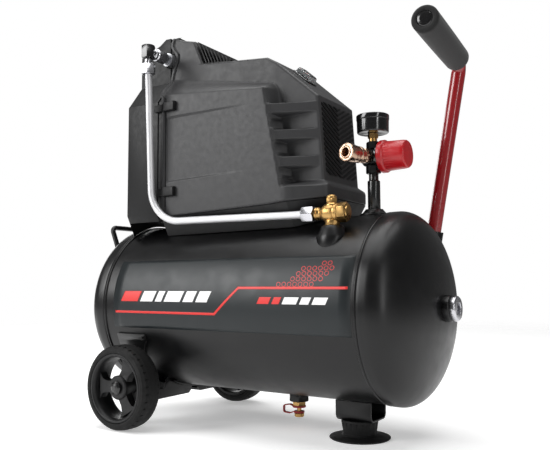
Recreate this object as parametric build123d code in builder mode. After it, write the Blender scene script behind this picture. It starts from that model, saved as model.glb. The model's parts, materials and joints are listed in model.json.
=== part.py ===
from build123d import *
from math import cos, radians, sin, sqrt, tan
import os

os.makedirs("parts", exist_ok=True)

# ---------------------------------------------------------------- driving dimensions (millimetres)
# The whole compressor is laid out from the middle of its 24 litre tank. The row's own origin is the
# middle of the outline on the floor, so at() shifts every position by TANK_X.
TANK_X = -11.1           # tank middle, along X
TANK_R = 124.0           # outside radius of the rolled shell
TANK_WALL = 2.5
AXIS_Z = 173.5           # tank axis over the floor
SEAM_X = 208.6           # edge of each end's lip
LIP_LENGTH = 12.3        # lip that grips the shell
LIP_STEP = 2.0           # lip stands proud of the shell by this
DOME_DEPTH = 55.0        # each end is half an ellipsoid this deep
FIT_GAP = 0.05           # air left between two close-fitting pieces of one body

FOOT_X = 151.5
FOOT_R = 41.0
FOOT_HEIGHT = 24.5

WHEEL_R = 59.7
WHEEL_X = -156.0
WHEEL_Y = 135.7          # middle of each tyre
WHEEL_WIDTH = 36.0
AXLE_R = 5.0

RISER_X = 178.5          # vertical riser pipe under the regulator
REGULATOR_Z = 376.0
VALVE_X, VALVE_Y, VALVE_Z = 155.5, -76.0, 295.5
DRAIN_X = 56.5
SAFETY_X, SAFETY_Y = 60.0, 95.0

HANDLE_R = 10.0
GRIP_R = 17.3
PIPE_R = 5.2

COVER_LEFT = -210.0      # outer end of the left shell
COVER_SPLIT = -127.0     # where the shroud's face begins
COVER_HALF = 84.0        # half width of the cover's broad lower part
COVER_NECK = 56.0        # half width of the narrow upper part
COVER_WALL = 2.5
CRANK_Z = 395.0          # motor and crank axis
PUMP_X = -158.0          # cylinder axis


def at(x, y, z):
    """A position measured from the tank's middle, with z over the floor."""
    return (TANK_X + x, y, z)


def front_plane(y=0.0, x=0.0, z=0.0):
    """Upright plane facing the front: local x is +X, local y is +Z, normal is -Y."""
    return Plane(origin=at(x, y, z), x_dir=(1, 0, 0), z_dir=(0, -1, 0))


def end_plane(x=0.0, y=0.0, z=0.0):
    """Upright plane facing right: local x is +Y, local y is +Z, normal is +X."""
    return Plane(origin=at(x, y, z), x_dir=(0, 1, 0), z_dir=(1, 0, 0))


def level(z, x=0.0, y=0.0):
    """Horizontal plane, normal up."""
    return Plane(origin=at(x, y, z), x_dir=(1, 0, 0), z_dir=(0, 0, 1))


def spindle(origin, direction):
    """Plane for turned pieces: local x runs along the axis of revolution."""
    along = Vector(*direction).normalized()
    across = Vector(0, 0, 1) if abs(along.Z) < 0.9 else Vector(0, 1, 0)
    return Plane(origin=origin, x_dir=along, z_dir=along.cross(across))


def lathe(plane, points, mode=Mode.ADD):
    """Turn an outline of (distance along the axis, radius) points about the plane's x axis."""
    with BuildSketch(plane, mode=Mode.PRIVATE) as outline:
        with BuildLine():
            Polyline(*points, close=True)
        make_face()
    revolve(outline.sketch, axis=Axis(plane.origin, plane.x_dir), mode=mode)


def slab(plane, points, thickness, mode=Mode.ADD):
    """Extrude a closed outline of points by a thickness along the plane's normal."""
    with BuildSketch(plane, mode=Mode.PRIVATE) as outline:
        with BuildLine():
            Polyline(*points, close=True)
        make_face()
    extrude(outline.sketch, amount=thickness, mode=mode)


def rod(plane, radius, length, mode=Mode.ADD):
    """Round bar standing on a plane."""
    with BuildSketch(plane, mode=Mode.PRIVATE) as disc:
        Circle(radius)
    extrude(disc.sketch, amount=length, mode=mode)


def block(plane, width, height, length, mode=Mode.ADD):
    """Rectangular bar standing on a plane."""
    with BuildSketch(plane, mode=Mode.PRIVATE) as rectangle:
        Rectangle(width, height)
    extrude(rectangle.sketch, amount=length, mode=mode)


def hexagon(plane, across_flats, length, turn=0.0, mode=Mode.ADD):
    """Hexagonal bar standing on a plane, its corners clipped by a 30 degree turned chamfer."""
    corner = across_flats / sqrt(3)
    clip = (corner - across_flats / 2) * tan(radians(30))
    inner = across_flats / 2 * 0.97
    with BuildSketch(plane, mode=Mode.PRIVATE) as outline:
        RegularPolygon(radius=corner, side_count=6, rotation=turn)
    with BuildPart(mode=Mode.PRIVATE) as bar:
        extrude(outline.sketch, amount=length)
        barrel = spindle(plane.origin, tuple(plane.z_dir))
        lathe(barrel, [(0, 0), (0, inner), (clip * 1.4, corner + 0.1), (length - clip * 1.4, corner + 0.1),
                       (length, inner), (length, 0)], mode=Mode.INTERSECT)
    add(bar.part, mode=mode)


def turned_round(piece):
    """The same piece turned half a turn about the tank's upright middle line."""
    return piece.rotate(Axis(at(0, 0, 0), (0, 0, 1)), 180)


def dome_outline(depth, radius, lip_x):
    """Quarter ellipse closed to the axis and the rim, for half of a domed end."""
    Polyline((lip_x, radius), (lip_x, 0), (lip_x + depth, 0))
    EllipticalCenterArc((lip_x, 0), depth, radius, start_angle=0, arc_size=90)


def tank_outside(margin=0.0):
    """Solid of the tank's outside, used to trim pieces that are welded to it."""
    lip = TANK_R + LIP_STEP + margin
    with BuildPart(mode=Mode.PRIVATE) as envelope:
        rod(end_plane(0, 0, AXIS_Z), TANK_R + margin, SEAM_X)
        rod(end_plane(SEAM_X - margin, 0, AXIS_Z), lip, LIP_LENGTH + margin)
        with BuildSketch(front_plane(0, 0, AXIS_Z), mode=Mode.PRIVATE) as half:
            with BuildLine():
                dome_outline(DOME_DEPTH + margin, lip, SEAM_X + LIP_LENGTH)
            make_face()
        revolve(half.sketch, axis=Axis(at(0, 0, AXIS_Z), (1, 0, 0)))
        add(turned_round(envelope.part))
    return envelope.part


def save(name, piece):
    """Label a finished piece and write it."""
    piece.label = name
    export_step(piece, f"parts/{name}.step")


# ---------------------------------------------------------------- tank
PORTS_UP = [(VALVE_X, VALVE_Y, 9.0), (RISER_X, 0.0, 8.0), (SAFETY_X, SAFETY_Y, 6.0)]
PORTS_DOWN = [(DRAIN_X, 0.0, 6.0)]
SHELL_END = SEAM_X + LIP_LENGTH - 4.0

with BuildPart() as tank_shell:
    rod(end_plane(-SHELL_END, 0, AXIS_Z), TANK_R, 2 * SHELL_END)
    rod(end_plane(-SHELL_END, 0, AXIS_Z), TANK_R - TANK_WALL, 2 * SHELL_END, mode=Mode.SUBTRACT)
    for x, y, radius in PORTS_UP:
        rod(level(AXIS_Z, x, y), radius, TANK_R + 10, mode=Mode.SUBTRACT)
    for x, y, radius in PORTS_DOWN:
        rod(level(AXIS_Z - TANK_R - 10, x, y), radius, TANK_R, mode=Mode.SUBTRACT)
save("tank_shell", tank_shell.part)

END_BOSS_R = 17.0


DOME_WALL = 3.0
DOME_X = SEAM_X + LIP_LENGTH
with BuildPart() as tank_end:
    # a pressed end: a lip that grips the shell, then half an ellipsoid
    lip_r = TANK_R + LIP_STEP
    with BuildSketch(front_plane(0, 0, AXIS_Z)):
        with BuildLine():
            Polyline((DOME_X, lip_r), (SEAM_X + 1.2, lip_r), (SEAM_X, lip_r - 1.2),
                     (SEAM_X, TANK_R + FIT_GAP), (SHELL_END + FIT_GAP, TANK_R + FIT_GAP),
                     (SHELL_END + FIT_GAP, lip_r - DOME_WALL), (DOME_X, lip_r - DOME_WALL))
            EllipticalCenterArc((DOME_X, 0), DOME_DEPTH - DOME_WALL, lip_r - DOME_WALL, start_angle=0,
                                arc_size=90)
            Line((DOME_X + DOME_DEPTH - DOME_WALL, 0), (DOME_X + DOME_DEPTH, 0))
            EllipticalCenterArc((DOME_X, 0), DOME_DEPTH, lip_r, start_angle=0, arc_size=90)
        make_face()
    revolve(axis=Axis(at(0, 0, AXIS_Z), (1, 0, 0)))
save("tank_end_left", turned_round(tank_end.part))

with BuildPart() as tank_end_right:
    add(tank_end.part)
    rod(end_plane(DOME_X, 0, AXIS_Z), END_BOSS_R + FIT_GAP, DOME_DEPTH + 5, mode=Mode.SUBTRACT)
save("tank_end_right", tank_end_right.part)

# Port bosses are turned steel rings welded on, trimmed to the tank.
DRAIN_BOSS_BOTTOM = 39.5
with BuildPart() as weld_bosses:
    lathe(spindle(at(VALVE_X, VALVE_Y, 250), (0, 0, 1)),
          [(0, 6.5), (0, 21), (14, 21), (22, 17.5), (27, 15), (29, 13.5), (29, 6.5)])
    lathe(spindle(at(RISER_X, 0, 285), (0, 0, 1)),
          [(0, 5.0), (0, 20), (13, 20), (15, 16), (19, 12.5), (20, 12), (20, 5.0)])
    lathe(spindle(at(SAFETY_X, SAFETY_Y, 228), (0, 0, 1)),
          [(0, 5.0), (0, 13), (30, 13), (34, 11), (34, 5.0)])
    hexagon(level(DRAIN_BOSS_BOTTOM, DRAIN_X), 26.5, 20)
    rod(level(DRAIN_BOSS_BOTTOM - 1, DRAIN_X), 5.0, 30, mode=Mode.SUBTRACT)
    add(tank_outside(FIT_GAP), mode=Mode.SUBTRACT)
    lathe(spindle(at(269, 0, AXIS_Z), (1, 0, 0)),
          [(0, 10.0), (0, END_BOSS_R), (13, END_BOSS_R), (14.5, END_BOSS_R - 1.5), (14.5, 10.0)])
save("weld_bosses", weld_bosses.part)

PLUG_X = 283.6
with BuildPart() as end_plug:
    lathe(spindle(at(PLUG_X, 0, AXIS_Z), (1, 0, 0)),
          [(-14, 0), (-14, 9.9), (0, 9.9), (0, 16.0), (5.6, 16.0), (7.4, 14.2), (7.4, 0)])
    with BuildSketch(end_plane(PLUG_X + 7.4, 0, AXIS_Z)):
        RegularPolygon(radius=8.1, side_count=6)
    extrude(amount=-7, mode=Mode.SUBTRACT)
save("end_plug", end_plug.part)

# ---------------------------------------------------------------- front foot
BRACKET_LEFT, BRACKET_RIGHT = 127.5, 179.5
BRACKET_HALF = 24.0
SHEET = 3.0
with BuildPart() as foot_bracket:
    bracket_length = BRACKET_RIGHT - BRACKET_LEFT
    bracket_top = 66.0
    with BuildSketch(end_plane(BRACKET_LEFT)) as channel:
        with BuildLine():
            Polyline((-BRACKET_HALF, bracket_top), (-BRACKET_HALF, FOOT_HEIGHT), (BRACKET_HALF, FOOT_HEIGHT),
                     (BRACKET_HALF, bracket_top), close=True)
        make_face()
        fillet(channel.vertices().group_by(Axis.Y)[0], 9)
    extrude(amount=bracket_length)
    with BuildSketch(end_plane(BRACKET_LEFT - 1)) as hollow:
        with BuildLine():
            inner_half = BRACKET_HALF - SHEET
            Polyline((-inner_half, bracket_top + 1), (-inner_half, FOOT_HEIGHT + SHEET),
                     (inner_half, FOOT_HEIGHT + SHEET), (inner_half, bracket_top + 1), close=True)
        make_face()
        fillet(hollow.vertices().group_by(Axis.Y)[0], 6)
    extrude(amount=bracket_length + 2, mode=Mode.SUBTRACT)
    add(tank_outside(FIT_GAP), mode=Mode.SUBTRACT)
    rod(level(FOOT_HEIGHT - 1, FOOT_X), 4.2, 10, mode=Mode.SUBTRACT)
save("foot_bracket", foot_bracket.part)

with BuildPart() as rubber_foot:
    lathe(spindle(at(FOOT_X, 0, 0), (0, 0, 1)),
          [(0, 0), (0, FOOT_R - 1.2), (1.0, FOOT_R), (2.2, FOOT_R - 0.4), (3.6, FOOT_R - 6), (4.6, 24.5),
           (6.5, 22.2), (FOOT_HEIGHT - 2, 24.8), (FOOT_HEIGHT, 24.2), (FOOT_HEIGHT, 0)])
    flute_count = 20
    for index in range(flute_count):
        turn = radians(360 / flute_count * index)
        rod(level(7.0, FOOT_X + 25.2 * cos(turn), 25.2 * sin(turn)),
            2.0, FOOT_HEIGHT - 9.5, mode=Mode.SUBTRACT)
save("rubber_foot", rubber_foot.part)

# ---------------------------------------------------------------- wheels and their bracket
BEAM_BOTTOM, BEAM_TOP = 36.0, 50.0
BEAM_LEFT, BEAM_RIGHT = -175.0, -137.0
BEAM_END = 112.0
STRAP_LEFT, STRAP_RIGHT = -186.0, -130.0
STRAP_TOP = 133.5
with BuildPart() as wheel_bracket:
    # the strap hugs the underside of the shell
    rod(end_plane(STRAP_LEFT, 0, AXIS_Z), TANK_R + SHEET, STRAP_RIGHT - STRAP_LEFT)
    rod(end_plane(STRAP_LEFT, 0, AXIS_Z), TANK_R + FIT_GAP, STRAP_RIGHT - STRAP_LEFT, mode=Mode.SUBTRACT)
    block(level(STRAP_TOP, (STRAP_LEFT + STRAP_RIGHT) / 2), 100, 300, 200, mode=Mode.SUBTRACT)
    for side in (-1, 1):
        slab(front_plane(150 if side > 0 else 0),
             [(STRAP_RIGHT + 1, 125), (STRAP_RIGHT + 1, 60), (STRAP_RIGHT - 22, 60), (STRAP_RIGHT - 16, 100),
              (STRAP_RIGHT - 6, 118)], 150, mode=Mode.SUBTRACT)
    # two webs and a floor make a channel on each side, closed by an end plate that carries the wheel bolt
    for side in (-1, 1):
        web = [(side * BEAM_END, BEAM_BOTTOM), (side * 14, BEAM_BOTTOM), (side * 8, BEAM_BOTTOM + 6),
               (side * 8, 62), (side * 58, 72), (side * 70, BEAM_TOP), (side * BEAM_END, BEAM_TOP)]
        for web_x in (BEAM_LEFT, BEAM_RIGHT - SHEET):
            slab(end_plane(web_x), web, SHEET)
        floor = [(BEAM_LEFT, side * 14), (BEAM_RIGHT, side * 14), (BEAM_RIGHT, side * BEAM_END),
                 (BEAM_LEFT, side * BEAM_END)]
        slab(level(BEAM_BOTTOM), floor, SHEET)
        plate_y = BEAM_END - SHEET if side > 0 else -BEAM_END
        end_plate = [(BEAM_LEFT, BEAM_BOTTOM), (BEAM_RIGHT, BEAM_BOTTOM), (BEAM_RIGHT, 66),
                     (WHEEL_X + 10, 76), (WHEEL_X - 10, 76), (BEAM_LEFT, 66)]
        slab(front_plane(plate_y + SHEET), end_plate, SHEET)
    add(tank_outside(FIT_GAP), mode=Mode.SUBTRACT)
    rod(front_plane(BEAM_END + 2, WHEEL_X, WHEEL_R), AXLE_R + FIT_GAP, 2 * BEAM_END + 4, mode=Mode.SUBTRACT)
    for side in (-1, 1):
        rod(front_plane(124 if side > 0 else -114.6, -134, 132.5 - 4.5), 2.6, 9.4)
    add(tank_outside(FIT_GAP), mode=Mode.SUBTRACT)
save("wheel_bracket", wheel_bracket.part)

with BuildPart() as wheel_bolts:
    for side in (-1, 1):
        lathe(spindle(at(WHEEL_X, side * 100, WHEEL_R), (0, side, 0)), [(0, 0), (0, 8), (8.9, 8),
                                                                        (8.9, AXLE_R), (12.1, AXLE_R),
                                                                        (12.1, 8.4), (14.6, 8.4),
                                                                        (14.6, AXLE_R), (47.4, AXLE_R),
                                                                        (47.4, 9.2), (50.4, 9.2),
                                                                        (52.6, 6.5), (53.4, 3.5),
                                                                        (53.4, 0)])
save("wheel_bolts", wheel_bolts.part)

RIM_R = 48.6             # outer edge of the rim's flange
HUB_R = 17.0
SPOKE_TURN = 60.0        # one spoke points at this angle above the right hand side, the others 120 apart
WHEEL_RUN = 0.06         # radial running clearance on the bolt


def wheel_rim(side):
    """Three wide flared spokes between a hub and a flanged drop-centre rim."""
    middle = side * WHEEL_Y
    with BuildPart() as rim:
        spin = spindle(at(WHEEL_X, middle, WHEEL_R), (0, side, 0))
        lathe(spin, [(-16.5, RIM_R), (-16.5, 44.2), (-13, 42.5), (-6, 41.4), (6, 41.4), (13, 42.5),
                     (16.5, 44.4), (17.4, 45.6), (17.4, 47.6), (16.5, RIM_R), (14.2, RIM_R), (12.6, 45.4),
                     (-12.6, 45.4), (-14.2, RIM_R)])
        lathe(spin, [(-19.0, AXLE_R + WHEEL_RUN), (-19.0, 9.5), (-15, 13.5), (4, HUB_R), (9.8, HUB_R),
                     (11.4, HUB_R - 1.6), (11.4, AXLE_R + WHEEL_RUN)])
        for index in range(3):
            angle = radians(SPOKE_TURN + 120 * index)
            spoke_plane = Plane(origin=at(WHEEL_X, middle - side * 4, WHEEL_R),
                                x_dir=(cos(angle), 0, sin(angle)), z_dir=(0, side, 0))
            with BuildSketch(spoke_plane):
                with BuildLine():
                    Polyline((12, -8.5), (24, -8.0), (33, -10.5), (38.5, -19.0), (38.5, 19.0), (33, 10.5),
                             (24, 8.0), (12, 8.5), close=True)
                make_face()
            extrude(amount=12)
        rod(front_plane(middle + 30, WHEEL_X, WHEEL_R), AXLE_R + WHEEL_RUN, 60, mode=Mode.SUBTRACT)
    return rim.part


def tyre(side):
    """Solid rubber tyre with a rounded crown and tread blocks on both shoulders."""
    half = WHEEL_WIDTH / 2
    block_count = 36
    with BuildPart() as ring:
        spin = spindle(at(WHEEL_X, side * WHEEL_Y, WHEEL_R), (0, side, 0))
        lathe(spin, [(-12.4, 45.45), (-14.0, 48.8), (-17.2, 49.0), (-half, 51.5), (-17.0, 55.5),
                     (-13.0, 58.6), (-6, WHEEL_R), (6, WHEEL_R), (13.0, 58.6), (17.0, 55.5), (half, 51.5),
                     (17.2, 49.0), (14.0, 48.8), (12.4, 45.45)])
        for index in range(block_count):
            turn = radians(360 / block_count * (index + 0.5))
            radial = Vector(cos(turn), 0, sin(turn))
            for shoulder in (-1, 1):
                centre = Vector(*at(WHEEL_X, side * WHEEL_Y + shoulder * 14.5, WHEEL_R)) + radial * 58.0
                groove = Plane(origin=centre, x_dir=(-sin(turn), 0, cos(turn)), z_dir=radial)
                block(groove, 2.2, 11.0, 4.0, mode=Mode.SUBTRACT)
    return ring.part


for side, name in ((-1, "front"), (1, "rear")):
    save(f"wheel_rim_{name}", wheel_rim(side))
    save(f"tyre_{name}", tyre(side))

# ---------------------------------------------------------------- cable hook on the left end
HOOK_HALF = 50.0
HOOK_R = 4.0
with BuildPart() as cable_hook:
    with BuildLine():
        FilletPolyline(at(-253, -HOOK_HALF, 244), at(-277, -HOOK_HALF, 300), at(-277, HOOK_HALF, 300),
                       at(-253, HOOK_HALF, 244), radius=9)
    with BuildSketch(Plane(origin=at(-253, -HOOK_HALF, 244), z_dir=(-24, 0, 56))):
        Circle(HOOK_R)
    sweep()
    add(tank_outside(FIT_GAP), mode=Mode.SUBTRACT)
save("cable_hook", cable_hook.part)

# ---------------------------------------------------------------- handle
HANDLE_Y = 100.0
HANDLE_FOOT = Vector(*at(222.0, HANDLE_Y, 264.0))
HANDLE_CORNER = Vector(*at(270.0, HANDLE_Y, 519.5))
HANDLE_TIP = Vector(*at(286.2, -79.0, 519.5))
lean = (HANDLE_CORNER - HANDLE_FOOT).normalized()
reach = (HANDLE_TIP - HANDLE_CORNER).normalized()
TUBE_WALL = 1.5
BOLT_UP = 9.4            # cross bolt above the tube's foot
SOCKET_R = 13.5

with BuildPart() as handle_tube:
    with BuildLine():
        FilletPolyline(HANDLE_FOOT, HANDLE_CORNER, HANDLE_TIP, radius=18)
    with BuildSketch(Plane(origin=HANDLE_FOOT, z_dir=lean)):
        Circle(HANDLE_R)
        Circle(HANDLE_R - TUBE_WALL, mode=Mode.SUBTRACT)
    sweep()
    bolt_plane = Plane(origin=HANDLE_FOOT + lean * BOLT_UP + Vector(0, -20, 0), z_dir=(0, 1, 0))
    rod(bolt_plane, 2.6, 40, mode=Mode.SUBTRACT)
save("handle_tube", handle_tube.part)

with BuildPart() as handle_socket:
    rod(Plane(origin=HANDLE_FOOT - lean * 24, z_dir=lean), SOCKET_R, 39.5)
    rod(Plane(origin=HANDLE_FOOT - lean * 0.2, z_dir=lean), HANDLE_R + FIT_GAP, 60, mode=Mode.SUBTRACT)
    rod(Plane(origin=HANDLE_FOOT + lean * BOLT_UP + Vector(0, -20, 0), z_dir=(0, 1, 0)),
        2.6, 40, mode=Mode.SUBTRACT)
    add(tank_outside(FIT_GAP), mode=Mode.SUBTRACT)
save("handle_socket", handle_socket.part)

with BuildPart() as handle_bolt:
    bolt_start = HANDLE_FOOT + lean * BOLT_UP + Vector(0, -SOCKET_R - 0.1, 0)
    bolt_length = 2 * SOCKET_R + 0.2
    hexagon(Plane(origin=bolt_start + Vector(0, -3.2, 0), z_dir=(0, 1, 0)), 8.0, 3.2)
    rod(Plane(origin=bolt_start, z_dir=(0, 1, 0)), 2.5, bolt_length)
    hexagon(Plane(origin=bolt_start + Vector(0, bolt_length, 0), z_dir=(0, 1, 0)), 8.0, 4.0)
save("handle_bolt", handle_bolt.part)

GRIP_LENGTH = 165.0
GRIP_WALL_GAP = 0.05
grip_start = HANDLE_TIP - reach * (GRIP_LENGTH - 4.0)
with BuildPart() as handle_grip:
    lathe(Plane(origin=grip_start, x_dir=reach, z_dir=reach.cross(Vector(0, 0, 1))),
          [(0, HANDLE_R + GRIP_WALL_GAP), (0, GRIP_R - 3.0), (1.0, GRIP_R - 1.0), (3.0, GRIP_R),
           (GRIP_LENGTH - 3, GRIP_R), (GRIP_LENGTH - 0.8, GRIP_R - 1.2), (GRIP_LENGTH, GRIP_R - 3.4),
           (GRIP_LENGTH, HANDLE_R + GRIP_WALL_GAP)])
save("handle_grip", handle_grip.part)

with BuildPart() as grip_cap:
    lathe(Plane(origin=HANDLE_TIP, x_dir=reach, z_dir=reach.cross(Vector(0, 0, 1))),
          [(-12, 0), (-12, HANDLE_R - TUBE_WALL - 0.1), (0.1, HANDLE_R - TUBE_WALL - 0.1),
           (0.1, HANDLE_R - 0.1), (3.2, HANDLE_R - 0.1), (4.4, HANDLE_R - 1.4), (5.0, HANDLE_R - 4),
           (5.0, 0)])
save("grip_cap", grip_cap.part)

# ---------------------------------------------------------------- drain valve under the tank
DRAIN_SEAT = 33.5
with BuildPart() as drain_body:
    lathe(spindle(at(DRAIN_X, 0, DRAIN_BOSS_BOTTOM), (0, 0, 1)), [(0, 2.2), (0, 4.95), (14, 4.95), (14, 2.2)])
    hexagon(level(DRAIN_SEAT, DRAIN_X), 17.5, DRAIN_BOSS_BOTTOM - DRAIN_SEAT)
    lathe(spindle(at(DRAIN_X, 0, 30.2), (0, 0, 1)), [(0, 3.3), (0, 6.4), (3.3, 7.6), (3.3, 3.3)])
    rod(level(DRAIN_SEAT - 1, DRAIN_X), 2.2, 10, mode=Mode.SUBTRACT)
    rod(level(30.0, DRAIN_X), 3.2, 6.5, mode=Mode.SUBTRACT)
save("drain_body", drain_body.part)

with BuildPart() as drain_screw:
    lathe(spindle(at(DRAIN_X, 0, 17.6), (0, 0, 1)), [(0, 0), (0, 6.0), (1.0, 6.9), (4.6, 6.9), (5.2, 6.2),
                                                     (5.2, 3.15), (18.2, 3.15), (19.6, 1.0), (19.6, 0)])
    rib_count = 18
    for index in range(rib_count):
        turn = radians(360 / rib_count * index)
        rod(level(17.0, DRAIN_X + 7.15 * cos(turn), 7.15 * sin(turn)), 0.7, 5.2, mode=Mode.SUBTRACT)
save("drain_screw", drain_screw.part)

with BuildPart() as drain_strap:
    # two collars joined by a looped strap that stands out towards the left
    for collar_z, inner, outer in ((30.9, 7.75, 9.6), (23.3, 3.6, 7.6)):
        lathe(spindle(at(DRAIN_X, 0, collar_z), (0, 0, 1)), [(0, inner), (0, outer), (2.3, outer),
                                                             (2.3, inner)])
    with BuildLine():
        FilletPolyline(at(DRAIN_X - 9.0, 0, 32.0), at(DRAIN_X - 15, 0, 33.6), at(DRAIN_X - 25.5, 0, 31.5),
                       at(DRAIN_X - 25.5, 0, 22.0), at(DRAIN_X - 15, 0, 21.4), at(DRAIN_X - 7.2, 0, 24.4),
                       radius=2.6)
    with BuildSketch(Plane(origin=at(DRAIN_X - 9.0, 0, 32.0), x_dir=(0, 1, 0), z_dir=(-6.0, 0, 1.6))):
        Rectangle(4.0, 1.6)
    sweep()
save("drain_strap", drain_strap.part)

# ---------------------------------------------------------------- check valve and delivery pipe
VALVE_BOSS_TOP = 279.0
with BuildPart() as check_valve_body:
    lathe(spindle(at(VALVE_X, VALVE_Y, 262), (0, 0, 1)), [(0, 0), (0, 6.4), (VALVE_BOSS_TOP - 262, 6.4),
                                                          (VALVE_BOSS_TOP - 262, 9.7), (23.5, 9.7),
                                                          (25.0, 8.6), (VALVE_Z - 262, 8.6),
                                                          (VALVE_Z - 262, 0)])
    lathe(spindle(at(130.5, VALVE_Y, VALVE_Z), (1, 0, 0)),
          [(0.8, 0), (0.8, 7.6), (2.0, 8.4), (3.6, 7.6), (5.0, 8.4), (7.0, 7.4), (9.0, 7.2), (11.0, 8.0),
           (15.0, 11.2), (18.0, 12.0), (27.0, 12.0), (28.5, 11.0), (30.0, 12.2), (34.0, 12.2), (35.0, 11.2),
           (35.0, 0)])
    lathe(spindle(at(VALVE_X - 1, VALVE_Y, VALVE_Z), (0, 0, 1)), [(0, 0), (0, 8.2), (10.6, 8.2),
                                                                  (13.0, 6.4), (17.6, 5.6), (18.4, 6.8),
                                                                  (21.0, 6.8), (23.0, 4.6), (23.0, 0)])
    with BuildSketch(level(VALVE_Z + 13.0, VALVE_X - 1)):
        with Locations((0, VALVE_Y)):
            RegularPolygon(radius=7.4, side_count=6)
    extrude(amount=5.4)
save("check_valve_body", check_valve_body.part)

with BuildPart() as check_valve_cap:
    hexagon(end_plane(165.6, VALVE_Y, VALVE_Z), 22.5, 11.5, turn=30)
    lathe(spindle(at(177, VALVE_Y, VALVE_Z), (1, 0, 0)), [(0, 0), (0, 8.2), (1.6, 7.4), (1.6, 0)])
save("check_valve_cap", check_valve_cap.part)

PIPE_X = -143.0
PIPE_TOP = Vector(*at(PIPE_X, -105.0, 526.0))
PIPE_BEND = Vector(*at(PIPE_X, -94.0, 298.5))
PIPE_END = Vector(*at(129.5, VALVE_Y, VALVE_Z))
BEND_R = 50.0
NUT_GAP = 0.05
pipe_down = (PIPE_BEND - PIPE_TOP).normalized()
pipe_along = (PIPE_END - PIPE_BEND).normalized()
with BuildPart() as delivery_pipe:
    with BuildLine():
        FilletPolyline(PIPE_TOP, PIPE_BEND, PIPE_END, radius=BEND_R)
    with BuildSketch(Plane(origin=PIPE_TOP, z_dir=pipe_down)):
        Circle(PIPE_R)
        Circle(PIPE_R - 1.0, mode=Mode.SUBTRACT)
    sweep()
save("delivery_pipe", delivery_pipe.part)

ELBOW_Z = 558.0
COLLAR_Z = 547.5
UPPER_NUT_LENGTH = 16.0
LOWER_NUT_LENGTH = 17.5
with BuildPart() as pipe_nuts:
    for start, way, length in ((PIPE_TOP - pipe_down * 13.4, pipe_down, UPPER_NUT_LENGTH),
                               (PIPE_END, pipe_along * -1, LOWER_NUT_LENGTH)):
        hexagon(Plane(origin=start, x_dir=way.cross(Vector(1, 0.6, 0.3)), z_dir=way), 19.0, length)
        rod(Plane(origin=start - way, z_dir=way), PIPE_R + NUT_GAP, 40, mode=Mode.SUBTRACT)
save("pipe_nuts", pipe_nuts.part)

with BuildPart() as pipe_elbow:
    # hexagonal block that turns the pipe's flow towards the cylinder head
    hexagon(level(COLLAR_Z + 0.5, PIPE_X, -105.6), 18.5, 20.0, turn=0)
save("pipe_elbow", pipe_elbow.part)

with BuildPart() as elbow_fittings:
    # collar under the elbow, and the branch from the elbow into the cylinder head
    lathe(spindle(at(PIPE_X, -105.6, COLLAR_Z), (0, 0, -1)), [(0, 0), (0, 5.6), (7.6, 5.6), (7.6, 0)])
    lathe(spindle(at(PIPE_X, -96.2, ELBOW_Z), (0, 1, 0)), [(0, 0), (0, 6.4), (2.0, 8.2), (5.0, 8.2),
                                                           (7.0, 9.6), (24.0, 9.6), (26.0, 8.0),
                                                           (32.1, 8.0), (32.1, 0)])
save("elbow_fittings", elbow_fittings.part)

# ---------------------------------------------------------------- riser, regulator, gauge and coupler
RISER_BOTTOM = 288.0
RISER_TOP = 344.5
with BuildPart() as riser_pipe:
    lathe(spindle(at(RISER_X, 0, RISER_BOTTOM), (0, 0, 1)),
          [(0, 3.4), (0, 4.95), (17.1, 4.95), (17.1, 8.5), (RISER_TOP - RISER_BOTTOM - 1.2, 8.5),
           (RISER_TOP - RISER_BOTTOM, 7.4), (RISER_TOP - RISER_BOTTOM, 6.5), (78, 6.5), (78, 3.4)])
save("riser_pipe", riser_pipe.part)

COUPLER_TURN = radians(12)
coupler_out = Vector(-sin(COUPLER_TURN), -cos(COUPLER_TURN), 0)
COUPLER_START = Vector(*at(RISER_X, 0, REGULATOR_Z)) + coupler_out * 12.0
with BuildPart() as regulator_body:
    hexagon(level(353.8, RISER_X), 18.0, 12.0, turn=15)
    lathe(spindle(at(RISER_X, 0, 353.8), (0, 0, 1)),
          [(10, 0), (10, 9.2), (13, 13.0), (31, 13.0), (34.5, 9.0), (34.5, 0)])
    hexagon(level(387.0, RISER_X), 16.5, 10.6, turn=15)
    lathe(spindle(at(RISER_X, 0, REGULATOR_Z), (1, 0, 0)), [(-14, 0), (-14, 9.5), (-12.5, 11), (0, 13),
                                                            (7.4, 13.4), (9.0, 18.5), (12.2, 18.5),
                                                            (12.2, 11.0), (18.0, 11.0), (18.0, 0)])
    lathe(Plane(origin=at(RISER_X, 0, REGULATOR_Z), x_dir=coupler_out, z_dir=(0, 0, 1)),
          [(0, 0), (0, 9.6), (13.6, 9.6), (13.6, 0)])
    rod(level(353, RISER_X), 6.55, 14, mode=Mode.SUBTRACT)
    rod(level(REGULATOR_Z, RISER_X), 4.0, 30, mode=Mode.SUBTRACT)
    lathe(Plane(origin=at(RISER_X, 0, REGULATOR_Z), x_dir=coupler_out, z_dir=(0, 0, 1)),
          [(4, 0), (4, 5.0), (14, 5.0), (14, 0)], mode=Mode.SUBTRACT)
save("regulator_body", regulator_body.part)

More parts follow.
